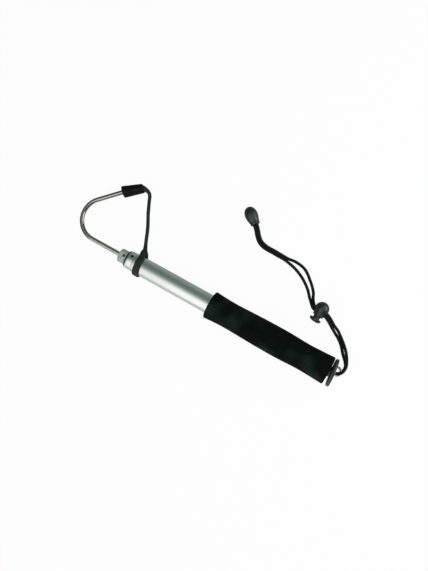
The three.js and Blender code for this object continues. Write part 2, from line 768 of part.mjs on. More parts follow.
// Strap: a flat strip from the sleeve's end to the loop's top
function strapGeometry() {
  const from = new THREE.Vector2(legToGuard + guardLength + seatGap, -strapRootOffset)
    .rotateAround(new THREE.Vector2(), legAngle).add(new THREE.Vector2(leg.x, leg.y));
  const to = new THREE.Vector2(loopMiddle(loopTopY), loopTopY + seatGap);
  const line = to.clone().sub(from);
  const side = new THREE.Vector2(-line.y, line.x);
  const route = [[0, 0], ...strapRouteShares, [1, 0]].map(([along, off]) => {
    const place = from.clone().addScaledVector(line, along).addScaledVector(side, off);
    return new THREE.Vector3(place.x, place.y, 0);
  });
  const section = new THREE.Shape([
    new THREE.Vector2(strapThickness / 2, -strapWidth / 2),
    new THREE.Vector2(strapThickness / 2, strapWidth / 2),
    new THREE.Vector2(-strapThickness / 2, strapWidth / 2),
    new THREE.Vector2(-strapThickness / 2, -strapWidth / 2),
  ]);
  return swept(section, new THREE.CatmullRomCurve3(route, false, 'centripetal'), strapSteps);
}

// Lanyard: one cord, made as two long strands and the short bight in the staple
const groundZ = -gripRimRadius;
const cordPoints = [...strandOuterRoute, ...bightRoute, ...strandInnerRoute]
  .map(([x, y, height]) => new THREE.Vector3(x, y, groundZ + height));
const cordCurve = new THREE.CatmullRomCurve3(cordPoints, false, 'centripetal');
cordCurve.arcLengthDivisions = (cordPoints.length - 1) * cordCurveSteps;

/** The share of the cord's length at which its curve passes one of its points. */
function shareAt(index) {
  const lengths = cordCurve.getLengths();
  return lengths[index * cordCurveSteps] / cordCurve.getLength();
}

function cordGeometry(fromShare, toShare, steps) {
  return swept(circleShape(cordRadius, cordSides), new Stretch(cordCurve, fromShare, toShare), steps);
}

// Cord lock, in its own frame: the plunger's axis is X, the cords' passage Y
const passageHeight = cordDiameter + 2 * cordHoleGap;
const passageLength = 2 * cordDiameter + 3 * cordHoleGap;

/** A slot across the lock, rounded at its ends, between two places on the plunger's axis. */
function passage(fromX, toX) {
  const radius = passageHeight / 2;
  const shape = new THREE.Shape();
  shape.absarc(toX - radius, 0, radius, -Math.PI / 2, Math.PI / 2, false);
  shape.absarc(fromX + radius, 0, radius, Math.PI / 2, (3 * Math.PI) / 2, false);
  const depth = 2 * lockBallDiameter;
  const slot = new THREE.ExtrudeGeometry(shape, { depth, curveSegments: arcSteps, bevelEnabled: false });
  return slot.translate(0, 0, -depth / 2).rotateX(Math.PI / 2);
}

function placeLock(geometry) {
  const lockZ = groundZ + lockBallDiameter / 2;
  return geometry.rotateZ(Math.PI / 2 + radians(lockTurn)).translate(lockX, lockY, lockZ);
}

const lockBoreEnd = -lockBallDiameter / 2 + lockWall;
const plungerEnd = lockPassage - passageLength / 2 - plungerWeb;
function lockHousingGeometry() {
  const ball = lockBallDiameter / 2;
  const neck = lockNeckDiameter / 2;
  const bore = plungerDiameter / 2 + runningGap;
  const open = (Math.acos(neck / ball) * 180) / Math.PI;
  const ballArc = arc(0, 0, ball, -90, open, 2 * arcSteps);
  const housing = turned([
    ...ballArc,
    [neck, lockNeckReach],
    [bore, lockNeckReach],
    [bore, lockBoreEnd],
    [0, lockBoreEnd],
  ], smallSegments);
  return placeLock(cut(housing, passage(lockPassage - passageLength / 2, lockPassage + passageLength / 2)));
}

function plungerGeometry() {
  const stem = plungerDiameter / 2;
  const cap = plungerCapDiameter / 2;
  const capX = lockNeckReach + plungerShow;
  const plunger = turned([
    [0, plungerEnd],
    [stem, plungerEnd],
    [stem, capX],
    ...plungerCapShares.map(([out, up]) => [out * cap, capX + up * plungerCapHeight]),
  ], smallSegments);
  const slotEnd = lockPassage + passageLength / 2 + plungerTravel;
  return placeLock(cut(plunger, passage(lockPassage - passageLength / 2, slotEnd)));
}

function lockSpringGeometry() {
  const radius = plungerDiameter / 2 - springWire;
  const endGap = springWire / 2 + seatGap;
  const coil = new Coil(radius, lockBoreEnd + endGap, plungerEnd - endGap, springTurns);
  return placeLock(swept(circleShape(springWire / 2, springSides), coil, springTurns * springSteps));
}

// Bell on the cord's ends, in its own frame: its axis is X, its mouth at +X
function placeBell(geometry) {
  const bellZ = groundZ + bellDiameter / 2;
  return geometry.rotateZ(Math.PI / 2 + radians(bellTurn)).translate(bellX, bellY, bellZ);
}

function bellGeometry() {
  const back = -bellLength / 2;
  const mouthX = bellLength / 2;
  const widest = back + bellWidestShare * bellLength;
  const radius = bellDiameter / 2;
  const mouth = bellMouthDiameter / 2;
  const outline = [[0, back]];
  for (let i = 1; i <= bellRings; i += 1) {
    const angle = (Math.PI / 2) * (i / bellRings);
    outline.push([radius * Math.sin(angle), widest - (widest - back) * Math.cos(angle)]);
  }
  for (let i = 1; i <= bellRings; i += 1) {
    const share = i / bellRings;
    const swell = (radius - mouth) * Math.cos((Math.PI / 2) * share);
    outline.push([mouth + swell, widest + (mouthX - widest) * share]);
  }
  const bore = bellBore / 2;
  const floor = back + bellWall;
  return placeBell(turned([
    ...outline,
    [bore, mouthX],
    ...arc(0, floor + bore, bore, 0, -90),
  ], smallSegments));
}

function bellPlugGeometry() {
  const rearX = bellLength / 2 - seatGap;
  const plug = rod(bellBore / 2 - seatGap, rearX - bellPlugLength, rearX);
  const slot = passage(-passageLength / 2, passageLength / 2).rotateZ(Math.PI / 2);
  return placeBell(cut(plug, slot));
}

function cordKnotGeometry() {
  const radius = bellBore / 2 - seatGap;
  const knot = new THREE.SphereGeometry(radius, smallSegments, smallSegments / 2);
  return placeBell(knot.translate(bellLength / 2 - 2 * seatGap - bellPlugLength - radius, 0, 0));
}

const firstBight = strandOuterRoute.length;
const lastBight = firstBight + bightRoute.length - 1;
const endGapShare = seatGap / cordCurve.getLength();

// The assembly, each piece at its place in the pole's frame
const gaff = new THREE.Group();
gaff.add(
  piece('outer_tube', outerTubeGeometry(), 'satinAluminium'),
  piece('foam_grip', gripGeometry(), 'foam'),
  piece('butt_plug', plugGeometry(), 'blackPlastic'),
  piece('plug_pin_upper', plugPinGeometry(1), 'machinedSteel'),
  piece('plug_pin_lower', plugPinGeometry(-1), 'machinedSteel'),
  piece('butt_cap', capGeometry(), 'blackPlastic'),
  piece('cap_screw', capScrewGeometry(), 'machinedSteel'),
  piece('lanyard_staple', stapleGeometry(), 'machinedSteel'),
  piece('middle_tube', middleTubeGeometry(), 'satinAluminium'),
  piece('middle_collar', collarGeometry(), 'satinAluminium'),
  piece('collar_grub_screw', grubScrewGeometry(), 'machinedSteel'),
  piece('middle_tail_bush', tailBushGeometry(outerBore, middleBore, middleBushFrontX), 'whiteNylon'),
  piece('middle_brake_ring', brakeRingGeometry(outerBore, middleBushFrontX), 'rubber'),
  piece('inner_tube', innerTubeGeometry(), 'satinAluminium'),
  piece('inner_tail_bush', tailBushGeometry(middleBore, innerBore, innerBushFrontX), 'whiteNylon'),
  piece('inner_brake_ring', brakeRingGeometry(middleBore, innerBushFrontX), 'rubber'),
  piece('tip_plug', tipPlugGeometry(), 'satinAluminium'),
  piece('buffer_washer', washerGeometry(), 'rubber'),
  piece('hex_ferrule', ferruleGeometry(), 'machinedSteel'),
  piece('ferrule_pin', ferrulePinGeometry(), 'machinedSteel'),
  piece('hook', hookGeometry(), 'brightSteel'),
  piece('guard_sleeve', guardSleeveGeometry(), 'rubber'),
  piece('guard_strap', strapGeometry(), 'rubber'),
  piece('guard_loop', loopGeometry(), 'rubber'),
  piece('cord_outer_strand', cordGeometry(0, shareAt(firstBight) - endGapShare, strandSteps), 'blackCord'),
  piece('cord_bight', cordGeometry(shareAt(firstBight), shareAt(lastBight), bightSteps), 'blackCord'),
  piece('cord_inner_strand', cordGeometry(shareAt(lastBight) + endGapShare, 1, strandSteps), 'blackCord'),
  piece('cord_knot', cordKnotGeometry(), 'blackCord'),
  piece('cord_lock_housing', lockHousingGeometry(), 'blackPlastic'),
  piece('cord_lock_plunger', plungerGeometry(), 'blackPlastic'),
  piece('cord_lock_spring', lockSpringGeometry(), 'springSteel'),
  piece('cord_bell', bellGeometry(), 'blackPlastic'),
  piece('cord_bell_plug', bellPlugGeometry(), 'blackPlastic'),
);

// The origin is on the ground, under the middle of the gaff without its lanyard
const hookFrontX = bendStartX - bendRadius - hookRodRadius;
const stapleRearX = capGap + capThickness + capDome + stapleRise + stapleRadius + stapleWire / 2;
const guardSideY = leg.y + (legToGuard + guardLength - guardRounding) * Math.sin(legAngle)
  + (guardEndDiameter / 2 - guardLean * guardLength - guardRounding) * Math.cos(legAngle) + guardRounding;
gaff.position.set(-(hookFrontX + stapleRearX) / 2, -(guardSideY - gripRimRadius) / 2, -groundZ);

const part = new THREE.Group();
part.add(gaff);
export default part;
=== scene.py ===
"""A compact telescopic fishing gaff, closed, lying on its foam grip with its lanyard beside it.

The hook, the tubes, the grip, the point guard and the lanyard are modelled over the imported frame.
Sizes are millimetres in the pole's own frame: the origin is on the pole's axis at the grip's butt
end, +X runs to the butt, +Y to the hook's open side and +Z up. The function at() turns them into
Blender's metres.
"""
import logging
import math
from dataclasses import dataclass, field
from enum import Enum
from typing import Any, Callable, Iterable, Sequence

import bmesh
import bpy
from mathutils import Matrix, Vector


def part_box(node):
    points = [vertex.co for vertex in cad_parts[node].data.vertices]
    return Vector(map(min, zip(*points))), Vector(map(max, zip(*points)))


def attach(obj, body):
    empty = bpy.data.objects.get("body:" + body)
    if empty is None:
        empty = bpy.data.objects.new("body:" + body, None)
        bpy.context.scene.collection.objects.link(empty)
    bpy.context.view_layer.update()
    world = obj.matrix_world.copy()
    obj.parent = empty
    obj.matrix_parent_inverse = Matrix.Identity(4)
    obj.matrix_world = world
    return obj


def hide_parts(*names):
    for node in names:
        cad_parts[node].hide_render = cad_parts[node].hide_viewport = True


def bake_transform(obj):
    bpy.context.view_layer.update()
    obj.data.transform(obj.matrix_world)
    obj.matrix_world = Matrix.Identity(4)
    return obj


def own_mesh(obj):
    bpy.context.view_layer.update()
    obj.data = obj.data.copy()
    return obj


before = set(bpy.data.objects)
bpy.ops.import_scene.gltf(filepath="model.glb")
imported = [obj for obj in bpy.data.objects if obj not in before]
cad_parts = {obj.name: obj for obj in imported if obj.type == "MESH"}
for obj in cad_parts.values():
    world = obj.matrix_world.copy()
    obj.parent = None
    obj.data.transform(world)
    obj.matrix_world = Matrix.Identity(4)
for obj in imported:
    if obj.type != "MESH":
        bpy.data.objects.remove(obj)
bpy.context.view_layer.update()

log = logging.getLogger("gaff")

MM = 0.001
FULL_TURN = 2 * math.pi
GRIP_STEPS = 128  # round the grip
ROUND_STEPS = 96  # round a tube
FINE_STEPS = 64  # round a moulding
SMALL_STEPS = 48  # round a rod
HOLE_STEPS = 40  # round a tapped hole
SCREW_STEPS = 32  # round a screw, or along a bent wire
WIRE_STEPS = 24  # round a wire or a pin
HEXAGON = 6  # sides
ARC_STEPS = 8  # along a rounded edge
SMALL_ARC_STEPS = 3  # along a broken edge of a tube or a screw
OVERRUN = 3.0  # how far a drill runs past what it cuts
SMOOTH_ANGLE = math.radians(32)
MERGE_DISTANCE = 1e-6  # in metres

Point = tuple[float, float, float]
Outline = list[tuple[float, float]]
Piece = bpy.types.Object


def pole_origin() -> Vector:
    """Where the pole's frame starts in the row frame, in metres."""
    low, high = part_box("foam_grip")
    return Vector((high[0], (low[1] + high[1]) / 2, (low[2] + high[2]) / 2))


ORIGIN = pole_origin()
GROUND_Z = -ORIGIN.z / MM  # height of the ground in the pole's frame


def at(x: float, y: float, z: float) -> Vector:
    """A place in the pole's frame, in the row frame's metres."""
    return ORIGIN + Vector((x, y, z)) * MM


# Finishes ------------------------------------------------------------------------------------

def linear(colour: str) -> tuple[float, float, float, float]:
    """Turns an sRGB hex colour to the linear one that a shader takes.

    Args:
        colour: six hex digits after a #.

    Returns:
        Red, green, blue and an alpha of 1.
    """
    parts = [int(colour[i:i + 2], 16) / 255 for i in (1, 3, 5)]
    red, green, blue = (c / 12.92 if c <= 0.04045 else ((c + 0.055) / 1.055) ** 2.4 for c in parts)
    return red, green, blue, 1.0


def feed(tree: bpy.types.NodeTree, node: bpy.types.Node, **inputs: Any) -> None:
    """Sets or links a node's inputs.

    Args:
        tree: the node tree that holds the node.
        node: the node that is fed.
        inputs: values, sockets, or nodes for their first output, by the input's name with _ for a
            space, or by i and its number.
    """
    for name, value in inputs.items():
        numbered = name[0] == "i" and name[1:].isdigit()
        socket = node.inputs[int(name[1:]) if numbered else name.replace("_", " ")]
        if isinstance(value, bpy.types.Node):
            value = value.outputs[0]
        if isinstance(value, bpy.types.NodeSocket):
            tree.links.new(value, socket)
        else:
            socket.default_value = value


def add_node(tree: bpy.types.NodeTree, kind: str, settings: dict[str, Any] | None = None,
             **inputs: Any) -> bpy.types.Node:
    """Adds a node with its settings and feeds its inputs.

    Args:
        tree: the node tree that gets the node.
        kind: the node's type.
        settings: properties of the node itself. A colour ramp's are its stops, which are places
            from 0 to 1, each with its sRGB hex colour.
        inputs: what feed() takes.

    Returns:
        The new node.
    """
    node = tree.nodes.new(kind)
    for name, value in (settings or {}).items():
        if name != "stops":
            setattr(node, name, value)
            continue
        elements = node.color_ramp.elements
        while len(elements) < len(value):
            elements.new(0.5)
        for element, (place, colour) in zip(elements, value):
            element.position = place
            element.color = linear(colour)
    feed(tree, node, **inputs)
    return node


def new_material(name: str) -> tuple[bpy.types.Material, bpy.types.NodeTree, bpy.types.Node]:
    """Makes a material.

    Args:
        name: the real material's name.

    Returns:
        The material, its node tree and its main shader.
    """
    material = bpy.data.materials.new(name)
    material.use_nodes = True
    tree = material.node_tree
    return material, tree, tree.nodes["Principled BSDF"]


class Coordinates(Enum):
    """Which coordinates a pattern follows."""

    OBJECT = "Object"
    SURFACE = "UV"


def grain_coordinates(tree: bpy.types.NodeTree, size_mm: Point,
                      kind: Coordinates = Coordinates.OBJECT) -> bpy.types.Node:
    """Adds coordinates that grow by one in each grain of a pattern.

    Args:
        tree: the node tree that gets them.
        size_mm: the grain's size along each axis.
        kind: the piece's own metres or its UV map.

    Returns:
        The node that gives them.
    """
    texture = add_node(tree, "ShaderNodeTexCoord")
    return add_node(tree, "ShaderNodeMapping", Vector=texture.outputs[kind.value],
                    Scale=tuple(1 / (size * MM) for size in size_mm))


@dataclass(frozen=True)
class Grain:
    """An uneven pattern: its grain's size along each axis, its finer layers and its swirl."""

    size_mm: Point
    detail: float
    swirl: float = 0.0
    kind: Coordinates = Coordinates.OBJECT

    def add(self, tree: bpy.types.NodeTree) -> bpy.types.Node:
        """Adds the pattern to a node tree."""
        place = grain_coordinates(tree, self.size_mm, self.kind)
        return add_node(tree, "ShaderNodeTexNoise", Vector=place, Scale=1.0, Detail=self.detail,
                        Distortion=self.swirl)


@dataclass(frozen=True)
class Finish:
    """A finish whose colour, gloss and relief each follow a grain.

    Attributes:
        name: the real material's name.
        colours: sRGB hex at the tone grain's low and high stop.
        roughness: at the polish grain's lowest and highest.
        tone: what the colour follows.
        polish: what the roughness follows.
        relief: what the surface follows.
        stops: where on the tone grain the two colours are, from 0 to 1.
        depth_mm: depth of the relief.
        metallic: 1 for a bare metal.
        gloss: the shader's specular level.
    """

    name: str
    colours: tuple[str, str]
    roughness: tuple[float, float]
    tone: Grain
    polish: Grain
    relief: Grain
    stops: tuple[float, float] = (0.35, 0.65)
    depth_mm: float = 0.01
    metallic: float = 0.0
    gloss: float = 0.5

    def make(self) -> bpy.types.Material:
        """Builds the material.

        Returns:
            The material.
        """
        material, tree, shader = new_material(self.name)
        grains = {grain: grain.add(tree)
                  for grain in dict.fromkeys((self.tone, self.polish, self.relief))}
        low, high = self.roughness
        stops = list(zip(self.stops, self.colours))
        feed(tree, shader, Metallic=self.metallic, Specular_IOR_Level=self.gloss,
             Base_Color=add_node(tree, "ShaderNodeValToRGB", {"stops": stops},
                                 Fac=grains[self.tone]),
             Roughness=add_node(tree, "ShaderNodeMapRange", Value=grains[self.polish], To_Min=low,
                                To_Max=high),
             Normal=add_node(tree, "ShaderNodeBump", Height=grains[self.relief], Strength=1.0,
                             Distance=self.depth_mm * MM))
        return material


# Die lines along a drawn tube are finer, and are drawn this coarse so that they show.
DIE_LINES = Grain((60, 0.5, 0.5), 4)
POLISHING_SWIRLS = Grain((1.6, 1.6, 1.6), 5, 0.6)
# Spark erosion leaves a grain of about 0.1 mm, and it is drawn this coarse so that it shows.
MOULD_GRAIN = Grain((0.6, 0.6, 0.6), 4)


@dataclass(frozen=True)
class AnodisedAluminium(Finish):
    """Drawn aluminium tube with a satin anodised skin: soft, faintly streaked along its length."""

    name: str = "anodised_aluminium"
    colours: tuple[str, str] = ("#d6dad8", "#e2e5e3")
    roughness: tuple[float, float] = (0.24, 0.34)
    tone: Grain = DIE_LINES
    polish: Grain = Grain((33.3, 16.7, 16.7), 2)
    relief: Grain = DIE_LINES
    depth_mm: float = 0.006
    metallic: float = 1.0


@dataclass(frozen=True)
class TurnedSteel(Finish):
    """Plated steel off the lathe: bright and cloudy, with faint rings round its axis."""

    roughness: tuple[float, float] = (0.2, 0.32)
    tone: Grain = Grain((3.33, 3.33, 3.33), 3)
    polish: Grain = Grain((3.33, 3.33, 3.33), 3)
    relief: Grain = Grain((0.25, 25, 25), 3)
    stops: tuple[float, float] = (0.3, 0.7)
    depth_mm: float = 0.006
    metallic: float = 1.0


@dataclass(frozen=True)
class PolishedStainless(Finish):
    """Stainless rod, bent and polished by hand: glossy and slightly warm, with soft swirls."""

    name: str = "polished_stainless_rod"
    colours: tuple[str, str] = ("#848377", "#b2b1a8")
    roughness: tuple[float, float] = (0.12, 0.26)
    tone: Grain = POLISHING_SWIRLS
    polish: Grain = POLISHING_SWIRLS
    relief: Grain = POLISHING_SWIRLS
    stops: tuple[float, float] = (0.3, 0.6)
    metallic: float = 1.0


@dataclass(frozen=True)
class SoftMoulding(Finish):
    """Moulded rubber or plastic: even and dark, with a fine spark-eroded grain from the mould."""

    tone: Grain = Grain((9.09, 9.09, 9.09), 2)
    polish: Grain = MOULD_GRAIN
    relief: Grain = MOULD_GRAIN


@dataclass(frozen=True)
class EvaFoam:
    """Closed-cell EVA foam, ground round: near-black, with pores in painted shade and pale patches
    of painted sheen.
    """

    name: str = "eva_foam"
    colour: str = "#0b1210"
    # painted sheen: the colour of the soft highlights on the foam
    painted_sheen_colour: str = "#1e2a26"
    # painted shade: the colour in the middle of each pore
    pore_shade_colour: str = "#040706"
    cell_mm: float = 0.9  # the cells are about 0.3 mm, and are drawn this coarse so that they show
    pore_edge: tuple[float, float] = (0.1, 0.55)
    grinding: Grain = Grain((1.5, 1.5, 1.5), 6)
    patches: Grain = Grain((30, 30, 30), 1)
    patch_edge: tuple[float, float] = (0.5, 0.72)
    roughness: tuple[float, float] = (0.8, 0.6)
    depth_mm: float = 0.04
    gloss: float = 0.04

    def make(self) -> bpy.types.Material:
        """Builds the material: cells for the pores, darkened in their middles as painted shade, and
        wide patches of painted sheen, which are also less rough.

        Returns:
            The material.
        """
        material, tree, shader = new_material(self.name)
        pores = add_node(tree, "ShaderNodeTexVoronoi", Scale=1.0,
                         Vector=grain_coordinates(tree, (self.cell_mm,) * 3))
        shut, wide = self.pore_edge
        skin_share = add_node(tree, "ShaderNodeMapRange", Value=pores, From_Min=shut, From_Max=wide)
        start, end = self.patch_edge
        painted_sheen_mask = add_node(tree, "ShaderNodeMapRange", Value=self.patches.add(tree), From_Min=start,
                        From_Max=end)
        # painted sheen: lighter in wide patches, where soft highlights fall
        skin = add_node(tree, "ShaderNodeValToRGB",
                        {"stops": [(0.0, self.colour), (1.0, self.painted_sheen_colour)]}, Fac=painted_sheen_mask)
        # painted shade: darker in the middle of each pore
        colour = add_node(tree, "ShaderNodeMix", {"data_type": "RGBA"}, i0=skin_share,
                          i6=linear(self.pore_shade_colour), i7=skin)
        # the patches of painted sheen are also less rough
        new, polished = self.roughness
        depth = self.depth_mm * MM
        ground = add_node(tree, "ShaderNodeBump", Height=self.grinding.add(tree), Strength=1.0,
                          Distance=depth)
        feed(tree, shader, Specular_IOR_Level=self.gloss, Base_Color=colour.outputs[2],
             Roughness=add_node(tree, "ShaderNodeMapRange", Value=painted_sheen_mask, To_Min=new,
                                To_Max=polished),
             Normal=add_node(tree, "ShaderNodeBump", Height=pores, Strength=1.0, Distance=depth,
                             Normal=ground))
        return material


@dataclass(frozen=True)
class BraidedPolyester:
    """Tightly braided polyester cord: dark, with painted shade in the gaps between yarns and a
    painted sheen on each raised yarn.
    """

    name: str = "braided_polyester_cord"
    # painted shade in the gaps between yarns, then painted sheen on their crests
    colours: tuple[str, str] = ("#030504", "#111917")
    stops: tuple[float, float] = (0.0, 0.8)
    fibres: Grain = Grain((0.22, 0.22, 0.22), 3, kind=Coordinates.SURFACE)
    depth_mm: float = 0.03
    roughness: float = 0.65
    gloss: float = 0.2

    def make(self) -> bpy.types.Material:
        """Builds the material: fibres along the yarns, with painted shade in the gaps between them
        and painted sheen on their crests.

        Returns:
            The material.
        """
        material, tree, shader = new_material(self.name)
        # the braid's height, which places the painted shade and the painted sheen
        height = add_node(tree, "ShaderNodeAttribute", {"attribute_name": "relief"}).outputs["Fac"]
        stops = list(zip(self.stops, self.colours))
        feed(tree, shader, Roughness=self.roughness, Specular_IOR_Level=self.gloss,
             Base_Color=add_node(tree, "ShaderNodeValToRGB", {"stops": stops}, Fac=height),
             Normal=add_node(tree, "ShaderNodeBump", Height=self.fibres.add(tree), Strength=1.0,
                             Distance=self.depth_mm * MM))
        return material


ANODISED = AnodisedAluminium().make()
FERRULE_STEEL = TurnedSteel("nickel_plated_steel", ("#a6aaa8", "#dcdfdd")).make()
WIRE_STEEL = TurnedSteel("bright_wire_steel", ("#9a9d9a", "#b4b6b3")).make()
SCREW_STEEL = TurnedSteel("blackened_steel", ("#303433", "#4a4f4e"), (0.35, 0.5)).make()
SPRING_STEEL = TurnedSteel("spring_wire", ("#85898a", "#9da0a1")).make()
ROD_STEEL = PolishedStainless().make()
FOAM = EvaFoam().make()
RUBBER = SoftMoulding("moulded_rubber", ("#091210", "#0d1815"), (0.45, 0.6), gloss=0.12).make()
# The strap and the loop: the guard's black rubber, painted lighter for the light that they catch.
RUBBER_PAINTED_LIGHTER = SoftMoulding("rubber_painted_lighter", ("#1a211e", "#272e2b"), (0.45, 0.6),
                                gloss=0.25).make()
WASHER_RUBBER = SoftMoulding("washer_rubber", ("#303735", "#3f4644"), (0.5, 0.7), gloss=0.3).make()
PLASTIC = SoftMoulding("moulded_abs", ("#101a17", "#172421"), (0.36, 0.46), gloss=0.75).make()
NYLON = SoftMoulding("machined_nylon", ("#cfccc0", "#dedbd0"), (0.4, 0.6)).make()
CORD = BraidedPolyester().make()


# Modelling -----------------------------------------------------------------------------------

@dataclass(frozen=True)
class Axis:
    """A line that a piece is turned about: its start and two square directions, in millimetres."""

    start: Vector = field(default_factory=lambda: Vector((0, 0, 0)))
    along: Vector = field(default_factory=lambda: Vector((1, 0, 0)))
    side: Vector = field(default_factory=lambda: Vector((0, 0, 1)))

    @property
    def across(self) -> Vector:
        """The third square direction."""
        return self.side.cross(self.along)

    def point(self, radius: float, distance: float, across: float = 0.0) -> Vector:
        """The place, in metres, at a radius on the side and a distance along the line."""
        return at(*(self.start + self.along * distance + self.side * radius + self.across * across))

    def step(self, radius: float, distance: float) -> Vector:
        """A move, in metres, by a radius and a distance."""
        return (self.along * distance + self.side * radius) * MM

    def moved(self, across: float) -> "Axis":
        """The same line, moved across."""
        return Axis(self.start + self.across * across, self.along, self.side)


POLE = Axis()


def in_plane(x: float, y: float, degrees: float, z: float = 0.0) -> Axis:
    """An axis in a level plane, from a point, at an angle from +X towards +Y."""
    angle = math.radians(degrees)
    return Axis(Vector((x, y, z)), Vector((math.cos(angle), math.sin(angle), 0)))


def upright(x: float, y: float = 0.0) -> Axis:
    """An axis that stands up from the pole's middle level."""
    return Axis(Vector((x, y, 0)), Vector((0, 0, 1)), Vector((0, 1, 0)))


def deselect() -> None:
    """Leaves edit mode and lets go of every object."""
    if bpy.context.object is not None and bpy.context.object.mode != "OBJECT":
        bpy.ops.object.mode_set(mode="OBJECT")
    bpy.ops.object.select_all(action="DESELECT")


def hold(piece: Piece) -> None:
    """Makes one object the only one selected, and the active one."""
    deselect()
    piece.select_set(True)
    bpy.context.view_layer.objects.active = piece


def begin(name: str, add: Callable[..., Any], **settings: Any) -> Piece:
    """Adds a primitive, names it and opens it for editing, all selected.

    Args:
        name: the piece's name.
        add: the operator that adds the primitive.
        settings: what the operator is given.

    Returns:
        The new object, in edit mode.
    """
    deselect()
    add(**settings)
    piece = bpy.context.object
    piece.name = piece.data.name = name
    bpy.ops.object.mode_set(mode="EDIT")
    bpy.ops.mesh.select_all(action="SELECT")
    return piece


def settle(piece: Piece) -> Piece:
    """Merges doubles, turns the faces outwards and puts the object at the origin.

    Args:
        piece: the piece, whose place goes into its mesh.

    Returns:
        The piece.
    """
    hold(piece)
    bpy.ops.object.mode_set(mode="EDIT")
    bpy.ops.mesh.select_all(action="SELECT")
    bpy.ops.mesh.remove_doubles(threshold=MERGE_DISTANCE)
    bpy.ops.mesh.normals_make_consistent(inside=False)
    bpy.ops.object.mode_set(mode="OBJECT")
    bpy.ops.object.transform_apply(location=True, rotation=True, scale=True)
    return piece


def move(step: Vector) -> None:
    """Extrudes the selection by a step."""
    bpy.ops.mesh.extrude_region_move(TRANSFORM_OT_translate={"value": tuple(step)})


def resize(ratios: Point, centre: Vector) -> None:
    """Scales the selection about a point, by a ratio along each world axis."""
    bpy.ops.transform.resize(value=ratios, center_override=centre)


def turn(degrees: float, axis: str, centre: Vector) -> None:
    """Turns the selection about a world axis, anticlockwise as seen from the axis's end."""
    bpy.ops.transform.rotate(value=-math.radians(degrees), orient_axis=axis, center_override=centre)


def spin(degrees: float, axis: Vector, centre: Vector, steps: int) -> None:
    """Spins the selected face about an axis, anticlockwise as seen from the axis's end."""
    bpy.ops.mesh.spin(steps=steps, angle=-math.radians(degrees), center=centre, axis=axis)


def rounded(corners: Sequence[tuple[float, ...]], steps: int = ARC_STEPS) -> Outline:
    """Rounds the corners of an outline.

    Args:
        corners: [radius, distance] of each corner, with the rounding's radius as a third number
            where it has one.
        steps: chords in each rounding.

    Returns:
        The outline's points.
    """
    points: Outline = []
    for i, corner in enumerate(corners):
        here = Vector(corner[:2])
        if len(corner) < 3:
            points.append((here.x, here.y))
            continue
        before = (Vector(corners[i - 1][:2]) - here).normalized()
        after = (Vector(corners[(i + 1) % len(corners)][:2]) - here).normalized()
        half = before.angle(after) / 2
        middle = here + (before + after).normalized() * (corner[2] / math.sin(half))
        first = here + before * (corner[2] / math.tan(half)) - middle
        last = here + after * (corner[2] / math.tan(half)) - middle
        for k in range(steps + 1):
            spoke = first.copy()
            spoke.rotate(Matrix.Rotation(-first.angle_signed(last) * k / steps, 2))
            points.append((middle.x + spoke.x, middle.y + spoke.y))
    return points


def turned(name: str, outline: Outline, axis: Axis = POLE, steps: int = ROUND_STEPS,
           closed: bool = False) -> Piece:
    """Models a piece on the lathe: a profile drawn by extruding a point, spun about an axis.

    Args:
        name: the piece's name.
        outline: [radius, distance] of each point of the profile.
        axis: the line that it is spun about.
        steps: faces all round.
        closed: whether the profile closes on itself, as a ring's does.

    Returns:
        The piece.
    """
    points = outline + [outline[0]] if closed else outline
    piece = begin(name, bpy.ops.mesh.primitive_plane_add, size=MM, location=axis.point(*points[0]))
    bpy.ops.mesh.merge(type="CENTER")
    for here, there in zip(points, points[1:]):
        move(axis.step(there[0] - here[0], there[1] - here[1]))
    bpy.ops.mesh.select_all(action="SELECT")
    bpy.ops.mesh.spin(steps=steps, angle=FULL_TURN, center=axis.point(0, 0), axis=axis.along)
    return settle(piece)


def rod(name: str, radius: float, start: float, end: float, axis: Axis = POLE,
        steps: int = SMALL_STEPS) -> Piece:
    """Models a plain round bar along an axis, for cutting with or to be worked on."""
    return turned(name, [(0, start), (radius, start), (radius, end), (0, end)], axis, steps)


class Join(Enum):
    """How a Boolean modifier puts two pieces together."""

    CUT = "DIFFERENCE"
    ADD = "UNION"
    KEEP_COMMON = "INTERSECT"


def combine(piece: Piece, tool: Piece, how: Join = Join.CUT) -> Piece:
    """Cuts, joins or trims a piece with a tool, and removes the tool.

    Args:
        piece: the piece that is changed.
        tool: the solid that changes it.
        how: what is done.

    Returns:
        The piece.
    """
    hold(piece)
    modifier = piece.modifiers.new("combine", "BOOLEAN")
    modifier.operation, modifier.object, modifier.solver = how.value, tool, "EXACT"
    bpy.ops.object.modifier_apply(modifier=modifier.name)
    bpy.data.objects.remove(tool, do_unlink=True)
    return piece


def drill(piece: Piece, radius: float, start: float, end: float, axis: Axis = POLE,
          steps: int = SMALL_STEPS) -> None:
    """Bores a round hole from start to end along an axis."""
    combine(piece, rod("drill", radius, start, end, axis, steps))


@dataclass(frozen=True)
class Edges:
    """How a piece's edges are broken: the bevel's width, its faces and the angle it starts at."""

    width: float
    segments: int
    degrees: float

    def bevel(self, piece: Piece) -> None:
        """Breaks the edges of a piece that are sharper than the angle."""
        hold(piece)
        modifier = piece.modifiers.new("edges", "BEVEL")
        modifier.width, modifier.segments = self.width * MM, self.segments
        modifier.limit_method, modifier.angle_limit = "ANGLE", math.radians(self.degrees)
        modifier.use_clamp_overlap = True
        bpy.ops.object.modifier_apply(modifier=modifier.name)


def disc(name: str, radius: float, centre: Vector, direction: Vector, sides: int) -> Piece:
    """Adds a filled circle in edit mode, to be extruded into a wire or a rod."""
    facing = tuple(direction.to_track_quat("Z", "Y").to_euler())
    return begin(name, bpy.ops.mesh.primitive_circle_add, vertices=sides, radius=radius * MM,
                 fill_type="NGON", location=centre, rotation=facing)


